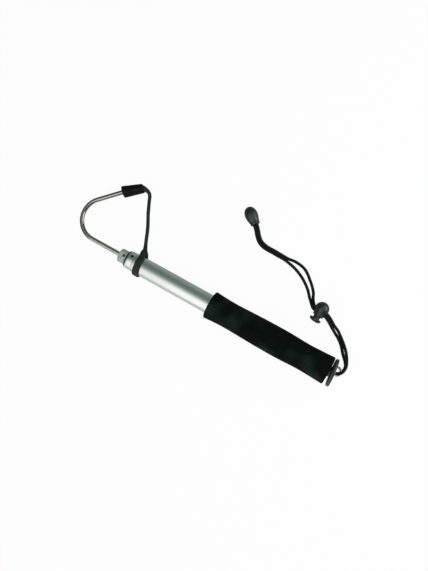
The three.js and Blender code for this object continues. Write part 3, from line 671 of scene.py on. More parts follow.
def mill_slot(piece: Piece, axis: Axis, start: float, end: float, height: float,
              reach: float) -> None:
    """Cuts a slot with round ends that runs across an axis.

    Args:
        piece: the piece that is cut.
        axis: its axis.
        start: where the slot begins along the axis.
        end: where it ends.
        height: its width, on the axis's side.
        reach: how far it goes each way.
    """
    radius = height / 2
    middle = axis.point(0, start + radius)
    tool = disc("slot_tool", radius, axis.point(0, start + radius, -reach), axis.across,
                SCREW_STEPS)
    mesh = bmesh.from_edit_mesh(tool.data)
    for vertex in mesh.verts:
        vertex.select = (tool.matrix_world @ vertex.co - middle).dot(axis.along) > -MERGE_DISTANCE
    mesh.select_mode = {"VERT"}
    mesh.select_flush_mode()
    bmesh.update_edit_mesh(tool.data)
    bpy.ops.transform.translate(value=axis.step(0, end - start - height))
    bpy.ops.mesh.select_all(action="SELECT")
    move(axis.across * (2 * reach * MM))
    combine(piece, settle(tool))


def dress(piece: Piece, material: bpy.types.Material, body: str | None, slot: str,
          *nodes: str) -> Piece:
    """Smooths a piece, gives it its material and puts it on its body.

    Args:
        piece: the finished mesh, in its place.
        material: its material.
        body: the CAD body that it rides on, or None for a piece that lies between two and rides on
            neither.
        slot: the record's material slot; not used.
        nodes: the CAD nodes that it stands for.

    Returns:
        The piece.
    """
    hold(piece)
    bpy.ops.object.shade_smooth_by_angle(angle=SMOOTH_ANGLE)
    piece.data.materials.clear()
    piece.data.materials.append(material)
    if body is not None:
        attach(piece, body)
    if nodes:
        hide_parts(*nodes)
    log.info("%s: %d faces, on %s", piece.name, len(piece.data.polygons), body)
    return piece


def dress_node(name: str, material: bpy.types.Material) -> None:
    """Gives a CAD node that stays its material."""
    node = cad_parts[name]
    node.data.materials.clear()
    node.data.materials.append(material)
    log.info("%s: CAD node, dressed", name)


# The handle ----------------------------------------------------------------------------------

@dataclass
class HandleTube:
    """The 22 mm outer tube, its mouth rolled in to hold the middle tube."""

    radius: float = 11.0
    bore: float = 9.9
    front: float = -251.0
    neck: float = 9.12
    mouth_depth: float = 3.4
    mouth_rounding: float = 0.35
    lip_rounding: float = 0.15
    roll_rounding: float = 0.4
    rear_rounding: float = 0.2
    pin_x: float = -6.5
    pin_hole: float = 1.8

    def build(self) -> None:
        """Turns the tube and drills it for the plug's pins."""
        lip = self.front + self.mouth_depth
        tube = turned("handle_tube", rounded([
            (self.bore, 0, self.rear_rounding), (self.bore, lip, self.roll_rounding),
            (self.neck, lip - (self.bore - self.neck), self.roll_rounding),
            (self.neck, self.front, self.lip_rounding),
            (self.radius, self.front, self.mouth_rounding), (self.radius, 0, self.rear_rounding),
        ]), closed=True)
        drill(tube, self.pin_hole, -2 * self.radius, 2 * self.radius, upright(self.pin_x))
        dress(tube, ANODISED, "handle", "satin_aluminium", "outer_tube")


@dataclass
class FoamGrip:
    """The contoured foam sleeve between its two equal rims.

    Attributes:
        outline_shares: shares of the length from the front, each with the share of the wall there.
        outline_steps: chords along the contour.
        rim_roundings: length of each straight rim, in roundings.
    """

    bore: float = 11.3
    wall: float = 5.0
    length: float = 150.3
    rim_rounding: float = 1.6
    rim_roundings: float = 3
    bore_rounding: float = 0.5
    outline_shares: tuple[tuple[float, float], ...] = (
        (0, 1), (0.17, 0.75), (0.41, 0.93), (0.62, 0.96), (0.8, 0.77), (1, 1),
    )
    outline_steps: int = 60

    def surface(self) -> Outline:
        """Draws the contour between the rims, as a curve through the shares.

        Returns:
            [radius, distance] of each of its points.
        """
        knots = [Vector((self.bore + wall * self.wall, -self.length * (1 - along)))
                 for along, wall in self.outline_shares]
        last = len(knots) - 1
        points: Outline = []
        for i in range(self.outline_steps + 1):
            spot = i / self.outline_steps * last
            k = min(int(spot), last - 1)
            t = spot - k
            a, b, c, d = (knots[min(max(j, 0), last)] for j in range(k - 1, k + 3))
            v0, v1 = (c - a) / 2, (d - b) / 2
            curve = ((2 * b - 2 * c + v0 + v1) * t ** 3 + (-3 * b + 3 * c - 2 * v0 - v1) * t ** 2
                     + v0 * t + b)
            if -self.length + self.rim_rounding < curve.y < -self.rim_rounding:
                points.append((curve.x, curve.y))
        return points

    def build(self) -> None:
        """Turns the grip."""
        rim, straight = self.bore + self.wall, self.rim_roundings * self.rim_rounding
        front = rounded([(self.bore, -self.length, self.bore_rounding),
                         (rim, -self.length, self.rim_rounding),
                         (rim, -self.length + straight)])[:-1]
        rear = rounded([(rim, -straight), (rim, 0, self.rim_rounding),
                        (self.bore, 0, self.bore_rounding)])[1:]
        grip = turned("foam_sleeve", front + self.surface() + rear, steps=GRIP_STEPS, closed=True)
        dress(grip, FOAM, "handle", "black_foam", "foam_grip")


@dataclass
class ButtCap:
    """The round cap on its stem, a little askew, with the wire staple for the lanyard.

    Attributes:
        gap: between the grip and the cap.
        lean: degrees that the cap leans.
        dome: height of the crown on its back.
        dome_shares: radii that the crown is drawn through.
        bend: radius of the staple's wire.
        offset: how far across the staple stands from the cap's middle.
    """

    radius: float = 16.0
    gap: float = 2.1
    thickness: float = 4.2
    rounding: float = 1.8
    dome: float = 0.8
    dome_start: float = 0.98
    dome_shares: tuple[float, ...] = (0.9, 0.75, 0.6, 0.45, 0.3, 0.15, 0)
    lean: float = 5.0
    stem_radius: float = 6.0
    stem_length: float = 10.0
    screw_hole: float = 2.3
    edges: Edges = Edges(0.15, 2, 50)
    wire: float = 2.6
    bend: float = 4.5
    offset: float = 3.3
    leg_start: float = 1.2
    leg_end: float = 5.6
    leg_clearance: float = 0.12
    hole_floor: float = 1.0

    def build(self) -> None:
        """Builds the cap and the staple."""
        axis = in_plane(self.gap, 0, self.lean)
        low, high = self.offset - self.bend, self.offset + self.bend
        flat, top = self.radius - self.rounding, self.thickness
        profile = rounded([(0, 0), (self.radius, 0, self.rounding),
                           (self.radius, top, self.rounding), (flat * self.dome_start, top)])
        profile += [(flat * out, top + self.dome * (1 - out ** 2)) for out in self.dome_shares]
        cap = turned("butt_cap_moulding", profile, axis)
        combine(cap, rod("stem", self.stem_radius, -self.stem_length, self.gap + top / 2), Join.ADD)
        drill(cap, self.screw_hole, -self.stem_length - OVERRUN, self.gap)
        for across in (low, high):
            drill(cap, self.wire / 2 + self.leg_clearance, self.hole_floor, top + OVERRUN,
                  axis.moved(across), WIRE_STEPS)
        self.edges.bevel(cap)
        dress(cap, PLASTIC, "handle", "black_plastic", "butt_cap")
        leg = self.leg_end - self.leg_start
        staple = disc("wire_staple", self.wire / 2, axis.point(0, self.leg_start, low), axis.along,
                      WIRE_STEPS)
        move(axis.step(0, leg))
        spin(180, axis.side, axis.point(0, self.leg_end, self.offset), SCREW_STEPS)
        move(axis.step(0, -leg))
        dress(settle(staple), WIRE_STEEL, "handle", "machined_steel", "lanyard_staple")


# The sliding sections ------------------------------------------------------------------------

@dataclass(frozen=True)
class PinHole:
    """The cross hole for the pin that holds the hook in the ferrule."""

    x: float = -255.6
    radius: float = 1.3
    reach: float = 10.0

    def cut(self, piece: Piece) -> None:
        """Drills the hole through a piece."""
        drill(piece, self.radius, -self.reach, self.reach, upright(self.x), WIRE_STEPS)


@dataclass(frozen=True)
class SocketScrew:
    """A headless screw with a hexagon socket, from low to high along its axis."""

    axis: Axis
    low: float
    high: float
    radius: float = 1.5
    rounding: float = 0.2
    socket_across: float = 1.5
    socket_depth: float = 0.9

    def hole(self, piece: Piece, gap: float, start: float, end: float, steps: int) -> None:
        """Drills the screw's hole in a piece, wider than the screw by a gap all round."""
        drill(piece, self.radius + gap, start, end + OVERRUN, self.axis, steps)

    def build(self, name: str) -> Piece:
        """Turns the screw and sinks its socket.

        Args:
            name: the piece's name.

        Returns:
            The screw.
        """
        screw = turned(name, rounded([
            (0, self.low), (self.radius, self.low, self.rounding),
            (self.radius, self.high, self.rounding), (0, self.high),
        ], SMALL_ARC_STEPS), self.axis, SCREW_STEPS)
        socket = disc("socket", self.socket_across / math.sqrt(3),
                      self.axis.point(0, self.high + OVERRUN), self.axis.along, HEXAGON)
        move(self.axis.step(0, -OVERRUN - self.socket_depth))
        return combine(screw, settle(socket))


@dataclass
class Sections:
    """The two sliding tubes, with the collar, its grub screw, the washer and the ferrule."""

    middle_radius: float = 8.82
    middle_bore: float = 7.92
    middle_front: float = -256.8
    middle_rear: float = -24.3
    inner_radius: float = 6.84
    inner_bore: float = 5.94
    inner_front: float = -259.0
    inner_rear: float = -43.3
    bore_rounding: float = 0.15
    tube_rounding: float = 0.25
    slide_gap: float = 0.3
    collar_radius: float = 10.62
    collar_front: float = -258.7
    collar_rear: float = -251.05
    collar_lip: float = 1.6
    collar_rounding: float = 1.2
    collar_rear_rounding: float = 0.12
    collar_bore_rounding: float = 0.1
    collar_edges: Edges = Edges(0.12, 2, 50)
    grub_x: float = -254.2
    grub_turn: float = 29
    grub_low: float = 8.22
    grub_high: float = 10.32
    grub_gap: float = 0.15
    washer_radius: float = 9.62
    washer_front: float = -260.5
    washer_rear: float = -259.3
    washer_roundings: tuple[float, float] = (0.2, 0.45)
    washer_arc_steps: int = 5
    hex_across: float = 14.0
    hex_front: float = -270.4
    hex_rear: float = -260.8
    hex_chamfer: float = 25
    hex_bite: float = 0.4
    hex_steps: int = 120
    hex_edges: Edges = Edges(0.22, 3, 20)
    spigot_radius: float = 4.24
    spigot_end: float = -243.8
    rod_hole: float = 2.8
    set_screw: SocketScrew = SocketScrew(upright(-263.7, 1.1), 3.6, 6.5)
    set_screw_gap: float = 0.12

    @property
    def grub_screw(self) -> SocketScrew:
        """The collar's screw, from the pole's axis outwards."""
        angle = math.radians(self.grub_turn)
        out = Vector((0, math.sin(angle), math.cos(angle)))
        return SocketScrew(Axis(Vector((self.grub_x, 0, 0)), out, Vector((1, 0, 0))), self.grub_low,
                           self.grub_high)

    def build_tubes(self) -> None:
        """Turns the two sliding tubes."""
        for name, bore, radius, front, rear, body, node in (
            ("middle_section_tube", self.middle_bore, self.middle_radius, self.middle_front,
             self.middle_rear, "middle_section", "middle_tube"),
            ("inner_section_tube", self.inner_bore, self.inner_radius, self.inner_front,
             self.inner_rear, "hook_section", "inner_tube"),
        ):
            tube = turned(name, rounded([
                (bore, rear, self.bore_rounding), (bore, front, self.bore_rounding),
                (radius, front, self.tube_rounding), (radius, rear, self.tube_rounding),
            ], SMALL_ARC_STEPS), closed=True)
            if node == "middle_tube":
                self.grub_screw.hole(tube, self.slide_gap, 0, self.collar_radius, HOLE_STEPS)
            dress(tube, ANODISED, body, "satin_aluminium", node)

    def build_collar(self) -> None:
        """Turns the collar, drills it and fits its grub screw."""
        slide, seat = self.inner_radius + self.slide_gap, self.middle_radius + self.slide_gap
        lip, bore_rounding = self.collar_front + self.collar_lip, self.collar_bore_rounding
        collar = turned("collar_ring", rounded([
            (slide, self.collar_front, self.tube_rounding),
            (self.collar_radius, self.collar_front, self.collar_rounding),
            (self.collar_radius, self.collar_rear, self.collar_rear_rounding),
            (seat, self.collar_rear, bore_rounding), (seat, lip), (slide, lip, bore_rounding),
        ]), closed=True)
        self.grub_screw.hole(collar, self.grub_gap, 0, self.collar_radius, HOLE_STEPS)
        self.collar_edges.bevel(collar)
        dress(collar, ANODISED, "middle_section", "satin_aluminium", "middle_collar")
        dress(self.grub_screw.build("grub_screw"), SCREW_STEEL, "middle_section", "machined_steel",
              "collar_grub_screw")

    def build_washer(self) -> None:
        """Turns the rubber washer between the collar and the ferrule."""
        bore = self.spigot_radius + self.slide_gap
        inside, outside = self.washer_roundings
        washer = turned("buffer_ring", rounded([
            (bore, self.washer_rear, inside), (bore, self.washer_front, inside),
            (self.washer_radius, self.washer_front, outside),
            (self.washer_radius, self.washer_rear, outside),
        ], self.washer_arc_steps), closed=True)
        dress(washer, WASHER_RUBBER, "hook_section", "black_rubber", "buffer_washer")

    def build_ferrule(self) -> None:
        """Mills the ferrule's hexagon, turns its corners and bores it for the hook's rod."""
        length = self.hex_rear - self.hex_front
        corner = self.hex_across / math.sqrt(3)
        ferrule = begin("hexagon_ferrule", bpy.ops.mesh.primitive_cylinder_add, vertices=HEXAGON,
                        radius=corner * MM, depth=length * MM, rotation=(0, math.pi / 2, 0),
                        location=at((self.hex_front + self.hex_rear) / 2, 0, 0))
        settle(ferrule)
        face, clear = self.hex_across / 2 - self.hex_bite, corner + self.hex_bite
        drop = (clear - face) * math.tan(math.radians(self.hex_chamfer))
        blank = turned("turned_corners", [
            (0, self.hex_front), (face, self.hex_front), (clear, self.hex_front + drop),
            (clear, self.hex_rear - drop), (face, self.hex_rear), (0, self.hex_rear),
        ], steps=self.hex_steps)
        combine(ferrule, blank, Join.KEEP_COMMON)
        spigot = rod("spigot", self.spigot_radius, self.hex_rear - length / 2, self.spigot_end)
        combine(ferrule, spigot, Join.ADD)
        drill(ferrule, self.rod_hole, self.hex_front - OVERRUN, self.spigot_end + OVERRUN)
        PinHole().cut(ferrule)
        self.set_screw.hole(ferrule, self.set_screw_gap, self.set_screw.low, self.set_screw.high,
                            SCREW_STEPS)
        self.hex_edges.bevel(ferrule)
        dress(ferrule, FERRULE_STEEL, "hook_section", "machined_steel", "hex_ferrule")
        dress(self.set_screw.build("ferrule_set_screw"), SCREW_STEEL, "hook_section",
              "machined_steel")

    def build(self) -> None:
        """Builds the tubes and what is on their ends."""
        self.build_tubes()
        self.build_collar()
        self.build_washer()
        self.build_ferrule()


# The hook and its point guard ----------------------------------------------------------------

@dataclass
class Hook:
    """The round steel rod, bent back on itself and ground to a point.

    Attributes:
        bend_turn: degrees that the rod is bent through.
        leg: length from the end of the bend to the tip.
        sharpening: shares of the point's length, each with the share of the rod's width there.
    """

    rod_radius: float = 2.6
    rear: float = -250.4
    bend_start: float = -308.9
    bend_radius: float = 25.1
    bend_turn: float = 136
    leg: float = 50.4
    point_length: float = 14.0
    sharpening: tuple[tuple[float, float], ...] = (
        (0.12, 0.98), (0.3, 0.88), (0.5, 0.7), (0.75, 0.4), (0.92, 0.16), (1.0, 0.06),
    )

    @property
    def leg_axis(self) -> Axis:
        """The straight leg's axis, from the end of the bend to the point."""
        angle = math.radians(self.bend_turn)
        return in_plane(self.bend_start - self.bend_radius * math.sin(angle),
                        self.bend_radius * (1 - math.cos(angle)), 180 - self.bend_turn)

    def build(self) -> None:
        """Extrudes the shank, spins the bend, extrudes the leg and draws the point out."""
        forward = Vector((-1, 0, 0))
        hook = disc("hook_rod", self.rod_radius, at(self.rear, 0, 0), forward, SMALL_STEPS)
        move(forward * (self.rear - self.bend_start) * MM)
        centre = at(self.bend_start, self.bend_radius, 0)
        spin(-self.bend_turn, Vector((0, 0, 1)), centre, ROUND_STEPS)
        axis, straight = self.leg_axis, self.leg - self.point_length
        move(axis.step(0, straight))
        before, width = 0.0, 1.0
        for share, new_width in self.sharpening:
            move(axis.step(0, (share - before) * self.point_length))
            resize((new_width / width,) * 3, axis.point(0, straight + share * self.point_length))
            before, width = share, new_width
        settle(hook)
        PinHole().cut(hook)
        dress(hook, ROD_STEEL, "hook_section", "hook_steel", "hook")


@dataclass
class PointGuard:
    """The rubber guard: a sleeve on the point, a strap, and a loop round the handle's tube.

    Attributes:
        leg_to_guard: from the start of the hook's leg to the sleeve's mouth.
        lean: how far the sleeve leans towards the strap, as a share of its length.
        tip_bore: radius of the bore round the tip.
        corner_share: rounding of a moulded section, as a share of its thickness.
        blend_from, blend_to: where the strap's bending would start and end, when the guard moves;
            not used.
        strap_route: x, y, width and thickness along the strap, from the sleeve to the loop.
        loop_x: where the loop is round the tube.
        loop_lean: how far it leans to the hook, as a share of its height.
        loop_pull: how far the strap pulls its top, from loop_pull_from upwards.
        loop_shoulder: height at which the band starts to narrow.
        loop_apex_share: its top's height, as a share of its radius.
        loop_start: share of its straight side that the strap's end hides.
    """

    hook: Hook
    leg_to_guard: float = 31.4
    length: float = 25.0
    mouth_radius: float = 7.1
    end_radius: float = 5.5
    mouth_rounding: float = 1.0
    end_rounding: float = 2.2
    lean: float = 0.11
    bore: float = 2.8
    bore_depth: float = 19.3
    tip_bore: float = 0.55
    edges: Edges = Edges(0.4, 3, 60)
    corner_share: float = 0.42
    corner_steps: int = 4
    smooth_levels: int = 2
    blend_from: Point = (-250.6, 25.6, 0)
    blend_to: Point = (-281.2, 79.2, 0)
    strap_route: tuple[tuple[float, float, float, float], ...] = (
        (-288.6, 77.2, 8.6, 8.6), (-286.6, 78.6, 8.8, 8.6), (-284.8, 79.3, 8.2, 8),
        (-283.2, 79.6, 7.2, 7), (-281.8, 79.7, 6.3, 5.9), (-280.4, 79.7, 5.6, 4.9),
        (-279.0, 79.5, 5, 4.1), (-277.4, 79.1, 4.7, 3.5), (-275.5, 78.3, 4.4, 3.2),
        (-273.8, 76.7, 4.3, 3), (-272.2, 73.9, 4.2, 3), (-270.7, 69.8, 4.2, 3),
        (-268.8, 65.7, 4.2, 3), (-266.6, 60.9, 4.2, 3), (-264.1, 55.6, 4.2, 3),
        (-261.2, 50.4, 4.2, 3), (-258.4, 45.4, 4.2, 3), (-256.1, 40.4, 4.2, 3),
        (-254.2, 36, 4.2, 3), (-252.6, 31.8, 4.2, 3), (-251, 28, 4.2, 3.1), (-249.8, 25, 4.2, 3.3),
        (-248.6, 22.4, 4.4, 3.6), (-247.6, 20.2, 5, 4.2), (-247, 18.4, 5.6, 4.6),
        (-246.7, 17.2, 5, 3.8),
    )
    loop_x: float = -243.2
    loop_lean: float = 0.05
    loop_pull: float = 2.7
    loop_pull_from: float = 8.0
    loop_shoulder: float = 14.5
    loop_width: float = 7.6
    loop_top_width: float = 4.2
    loop_narrowing: float = 1.5
    loop_thickness: float = 2.2
    loop_corner_share: float = 0.4
    loop_radius: float = 12.4
    loop_apex_share: float = 1.55
    loop_start: float = 0.1
    loop_side_steps: int = 8
    loop_steps: int = 72

    def build_sleeve(self) -> None:
        """Extrudes the sleeve ring by ring, leaning towards the strap, and bores it."""
        leg = self.hook.leg_axis
        axis = Axis(leg.start + leg.along * self.leg_to_guard, leg.along, leg.side)
        outline = rounded([
            (0, 0), (self.mouth_radius, 0, self.mouth_rounding),
            (self.end_radius, self.length, self.end_rounding), (0, self.length),
        ])[1:-1]
        sleeve = disc("guard_sleeve_moulding", outline[0][0], axis.point(0, 0), axis.along,
                      FINE_STEPS)
        for (radius, distance), (next_radius, next_distance) in zip(outline, outline[1:]):
            centre = axis.point(0, next_distance, -self.lean * next_distance)
            move(centre - axis.point(0, distance, -self.lean * distance))
            resize((next_radius / radius,) * 3, centre)
        settle(sleeve)
        combine(sleeve, turned("bore", [
            (0, -OVERRUN), (self.bore, -OVERRUN),
            (self.bore, self.bore_depth - self.hook.point_length),
            (self.tip_bore, self.bore_depth), (0, self.bore_depth),
        ], axis, FINE_STEPS))
        self.edges.bevel(sleeve)
        dress(sleeve, RUBBER, "point_guard", "black_rubber", "guard_sleeve")

    def section(self, name: str, centre: Vector, lying: Point, size: Point, corner: float) -> Piece:
        """Draws the section that a moulding is extruded from.

        Args:
            name: the piece's name.
            centre: the section's middle.
            lying: the rotation that lays the plane across the moulding.
            size: its size along each axis.
            corner: rounding of its corners.

        Returns:
            The piece, in edit mode.
        """
        piece = begin(name, bpy.ops.mesh.primitive_plane_add, size=MM, location=centre,
                      rotation=lying)
        resize(size, centre)
        bpy.ops.mesh.bevel(offset=corner * MM, segments=self.corner_steps, affect="VERTICES")
        return piece

    def build_strap(self) -> None:
        """Extrudes the strap from the sleeve to the loop, turning and resizing its section."""
        route = self.strap_route
        neighbours = zip(route[:1] + route, route[1:] + route[-1:])
        headings = [math.degrees(math.atan2(yb - ya, xb - xa))
                    for (xa, ya, *_), (xb, yb, *_) in neighbours]
        x, y, width, thickness = route[0]
        centre = at(x, y, 0)
        strap = self.section("guard_strap_moulding", centre, (0, math.pi / 2, 0),
                             (1, width, thickness), self.corner_share * min(width, thickness))
        turn(headings[0], "Z", centre)
        for i in range(1, len(route)):
            (xa, ya, wa, ta), (xb, yb, wb, tb) = route[i - 1:i + 1]
            move(Vector((xb - xa, yb - ya, 0)) * MM)
            centre = at(xb, yb, 0)
            turn(-headings[i - 1], "Z", centre)
            resize((1, wb / wa, tb / ta), centre)
            turn(headings[i], "Z", centre)
        settle(strap)
        modifier = strap.modifiers.new("round", "SUBSURF")
        modifier.levels = modifier.render_levels = self.smooth_levels
        bpy.ops.object.modifier_apply(modifier=modifier.name)
        dress(strap, RUBBER_PAINTED_LIGHTER, None, "black_rubber", "guard_strap")
        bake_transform(strap)

    @property
    def loop_apex(self) -> float:
        """How far the loop's top is from the pole's axis, along +Y."""
        return self.loop_radius * self.loop_apex_share

    def loop_path(self) -> list[Point]:
        """Draws the loop's middle line, from its apex round to it again.

        Returns:
            y, z and the band's angle at each of its points.
        """
        open_angle = math.acos(1 / self.loop_apex_share)
        side = []
        for i in range(self.loop_side_steps):
            share = self.loop_start + (1 - self.loop_start) * i / self.loop_side_steps
            y = self.loop_apex + (self.loop_radius * math.cos(open_angle) - self.loop_apex) * share
            side.append((y, self.loop_radius * math.sin(open_angle) * share, open_angle))
        angles = [open_angle + (FULL_TURN - 2 * open_angle) * i / self.loop_steps
                  for i in range(self.loop_steps + 1)]
        band = [(self.loop_radius * math.cos(a), self.loop_radius * math.sin(a), a) for a in angles]
        return side + band + [(y, -z, FULL_TURN - a) for y, z, a in side[::-1]]

    def loop_width_at(self, y: float) -> float:
        """The band's width, which narrows from its shoulder to its top."""
        share = min(max((y - self.loop_shoulder) / (self.loop_apex - self.loop_shoulder), 0), 1)
        narrowed = (self.loop_top_width - self.loop_width) * share ** self.loop_narrowing
        return self.loop_width + narrowed

    def loop_point(self, y: float, z: float) -> Vector:
        """A point of the band's middle line: it leans, and its top is pulled towards the hook."""
        pulled = max(0.0, (y - self.loop_pull_from) / (self.loop_apex - self.loop_pull_from))
        return at(self.loop_x - self.loop_lean * y - self.loop_pull * pulled, y, z)

    def build_loop(self) -> None:
        """Extrudes the band round the tube, turning its section about X."""
        path = self.loop_path()
        y, z, angle = path[0]
        centre = self.loop_point(y, z)
        loop = self.section("guard_loop_moulding", centre, (math.pi / 2, 0, 0),
                            (self.loop_width_at(y), 1, self.loop_thickness),
                            self.loop_corner_share * self.loop_thickness)
        turn(math.degrees(angle) - 90, "X", centre)
        for (ya, za, aa), (yb, zb, ab) in zip(path, path[1:]):
            centre = self.loop_point(yb, zb)
            move(centre - self.loop_point(ya, za))
            turn(math.degrees(ab - aa), "X", centre)
            resize((self.loop_width_at(yb) / self.loop_width_at(ya), 1, 1), centre)
        dress(settle(loop), RUBBER_PAINTED_LIGHTER, "hook_section", "black_rubber", "guard_loop")

    def build(self) -> None:
        """Builds the guard's three pieces."""
        self.build_sleeve()
        self.build_strap()
        self.build_loop()


# The lanyard ---------------------------------------------------------------------------------

CURVE_STEPS = 40  # fine chords between two points of a route
CENTRIPETAL = 0.5  # power of a chord's length that paces the curve through a route


def smooth_route(points: Sequence[Point], spacing: float) -> list[Vector]:
    """Draws a centripetal curve through a route's points, at an even spacing.

    Args:
        points: places in the pole's frame.
        spacing: about how far apart the curve's points are.

    Returns:
        The curve's points, in millimetres.
    """
    spots = [Vector(p) for p in points]
    spots = [2 * spots[0] - spots[1], *spots, 2 * spots[-1] - spots[-2]]
    fine: list[Vector] = []
    for a, b, c, d in zip(spots, spots[1:], spots[2:], spots[3:]):
        t1 = (b - a).length ** CENTRIPETAL
        t2 = t1 + (c - b).length ** CENTRIPETAL
        t3 = t2 + (d - c).length ** CENTRIPETAL
        for k in range(CURVE_STEPS):
            t = t1 + (t2 - t1) * k / CURVE_STEPS
            ab = a.lerp(b, t / t1)
            bc = b.lerp(c, (t - t1) / (t2 - t1))
            cd = c.lerp(d, (t - t2) / (t3 - t2))
            abc, bcd = ab.lerp(bc, t / t2), bc.lerp(cd, (t - t1) / (t3 - t1))
            fine.append(abc.lerp(bcd, (t - t1) / (t2 - t1)))
    fine.append(spots[-2])
    lengths = [0.0]
    for a, b in zip(fine, fine[1:]):
        lengths.append(lengths[-1] + (b - a).length)
    count = max(2, round(lengths[-1] / spacing))
    route, i = [], 0
    for k in range(count + 1):
        wanted = lengths[-1] * k / count
        while i < len(lengths) - 2 and lengths[i + 1] < wanted:
            i += 1
        share = (wanted - lengths[i]) / (lengths[i + 1] - lengths[i])
        route.append(fine[i].lerp(fine[i + 1], min(max(share, 0.0), 1.0)))
    return route


@dataclass
class BraidedCord:
    """A braided cord that follows a route, with its yarns in relief.

    Attributes:
        diameter: over the braid's crests.
        spacing: between its rings of points.
        sides: points in each ring.
        yarns: crossing yarns each way round.
        pitch: length in which a yarn goes once round.
        relief: depth of the gaps between yarns.
        dip: how far a yarn goes down under another, as a share of the relief.
    """

    diameter: float = 3.6
    spacing: float = 0.3
    sides: int = 24
    yarns: int = 6
    pitch: float = 13.0
    relief: float = 0.1
    dip: float = 0.45

    def crest(self, around: float, along: float) -> float:
        """Tells how high the braid is: two sets of yarns pass over each other in turn.

        Args:
            around: the place round the cord, from 0 to 1.
            along: the length of cord before it.

        Returns:
            The height, from 0 to 1.
        """
        lead = along / self.pitch
        one = math.cos(math.pi * self.yarns * (around - lead)) ** 2
        other = math.cos(math.pi * self.yarns * (around + lead)) ** 2
        wave = math.cos(FULL_TURN * self.yarns * around) * math.cos(FULL_TURN * self.yarns * lead)
        over = (1 + wave) / 2
        return max(one * (1 - self.dip * (1 - over)), other * (1 - self.dip * over))

    def build(self, name: str, points: Sequence[Point]) -> tuple[Piece, list[Point]]:
        """Builds the cord as a closed tube.

        Args:
            name: the piece's name.
            points: the route, in the pole's frame.

        Returns:
            The piece, and its centreline in metres.
        """
        route = smooth_route(points, self.spacing)
        mesh = bmesh.new()
        uv_layer = mesh.loops.layers.uv.new("cord")
        relief_layer = mesh.verts.layers.float.new("relief")
        side = (route[1] - route[0]).cross(Vector((0, 0, 1))).normalized()
        rings = []
        for i, spot in enumerate(route):
            ahead = (route[min(i + 1, len(route) - 1)] - route[max(i - 1, 0)]).normalized()
            side = (side - ahead * side.dot(ahead)).normalized()
            other = ahead.cross(side)
            ring = []
            for k in range(self.sides):
                height = self.crest(k / self.sides, i * self.spacing)
                radius = self.diameter / 2 - self.relief * (1 - height)
                angle = FULL_TURN * k / self.sides
                spoke = side * math.cos(angle) + other * math.sin(angle)
                vertex = mesh.verts.new(at(*(spot + spoke * radius)))
                vertex[relief_layer] = height
                ring.append(vertex)
            rings.append(ring)
        chord, step = math.pi * self.diameter / self.sides * MM, self.spacing * MM
        for i, (one, two) in enumerate(zip(rings, rings[1:])):
            for k in range(self.sides):
                n = (k + 1) % self.sides
                face = mesh.faces.new((one[k], one[n], two[n], two[k]))
                corners = ((k, i), (k + 1, i), (k + 1, i + 1), (k, i + 1))
                for loop, (u, v) in zip(face.loops, corners):
                    loop[uv_layer].uv = (u * chord, v * step)
        mesh.faces.new(rings[0][::-1])
        mesh.faces.new(rings[-1])
        bmesh.ops.recalc_face_normals(mesh, faces=mesh.faces)
        data = bpy.data.meshes.new(name)
        mesh.to_mesh(data)
        mesh.free()
        piece = bpy.data.objects.new(name, data)
        bpy.context.scene.collection.objects.link(piece)
        return piece, [tuple(at(*spot)) for spot in route]


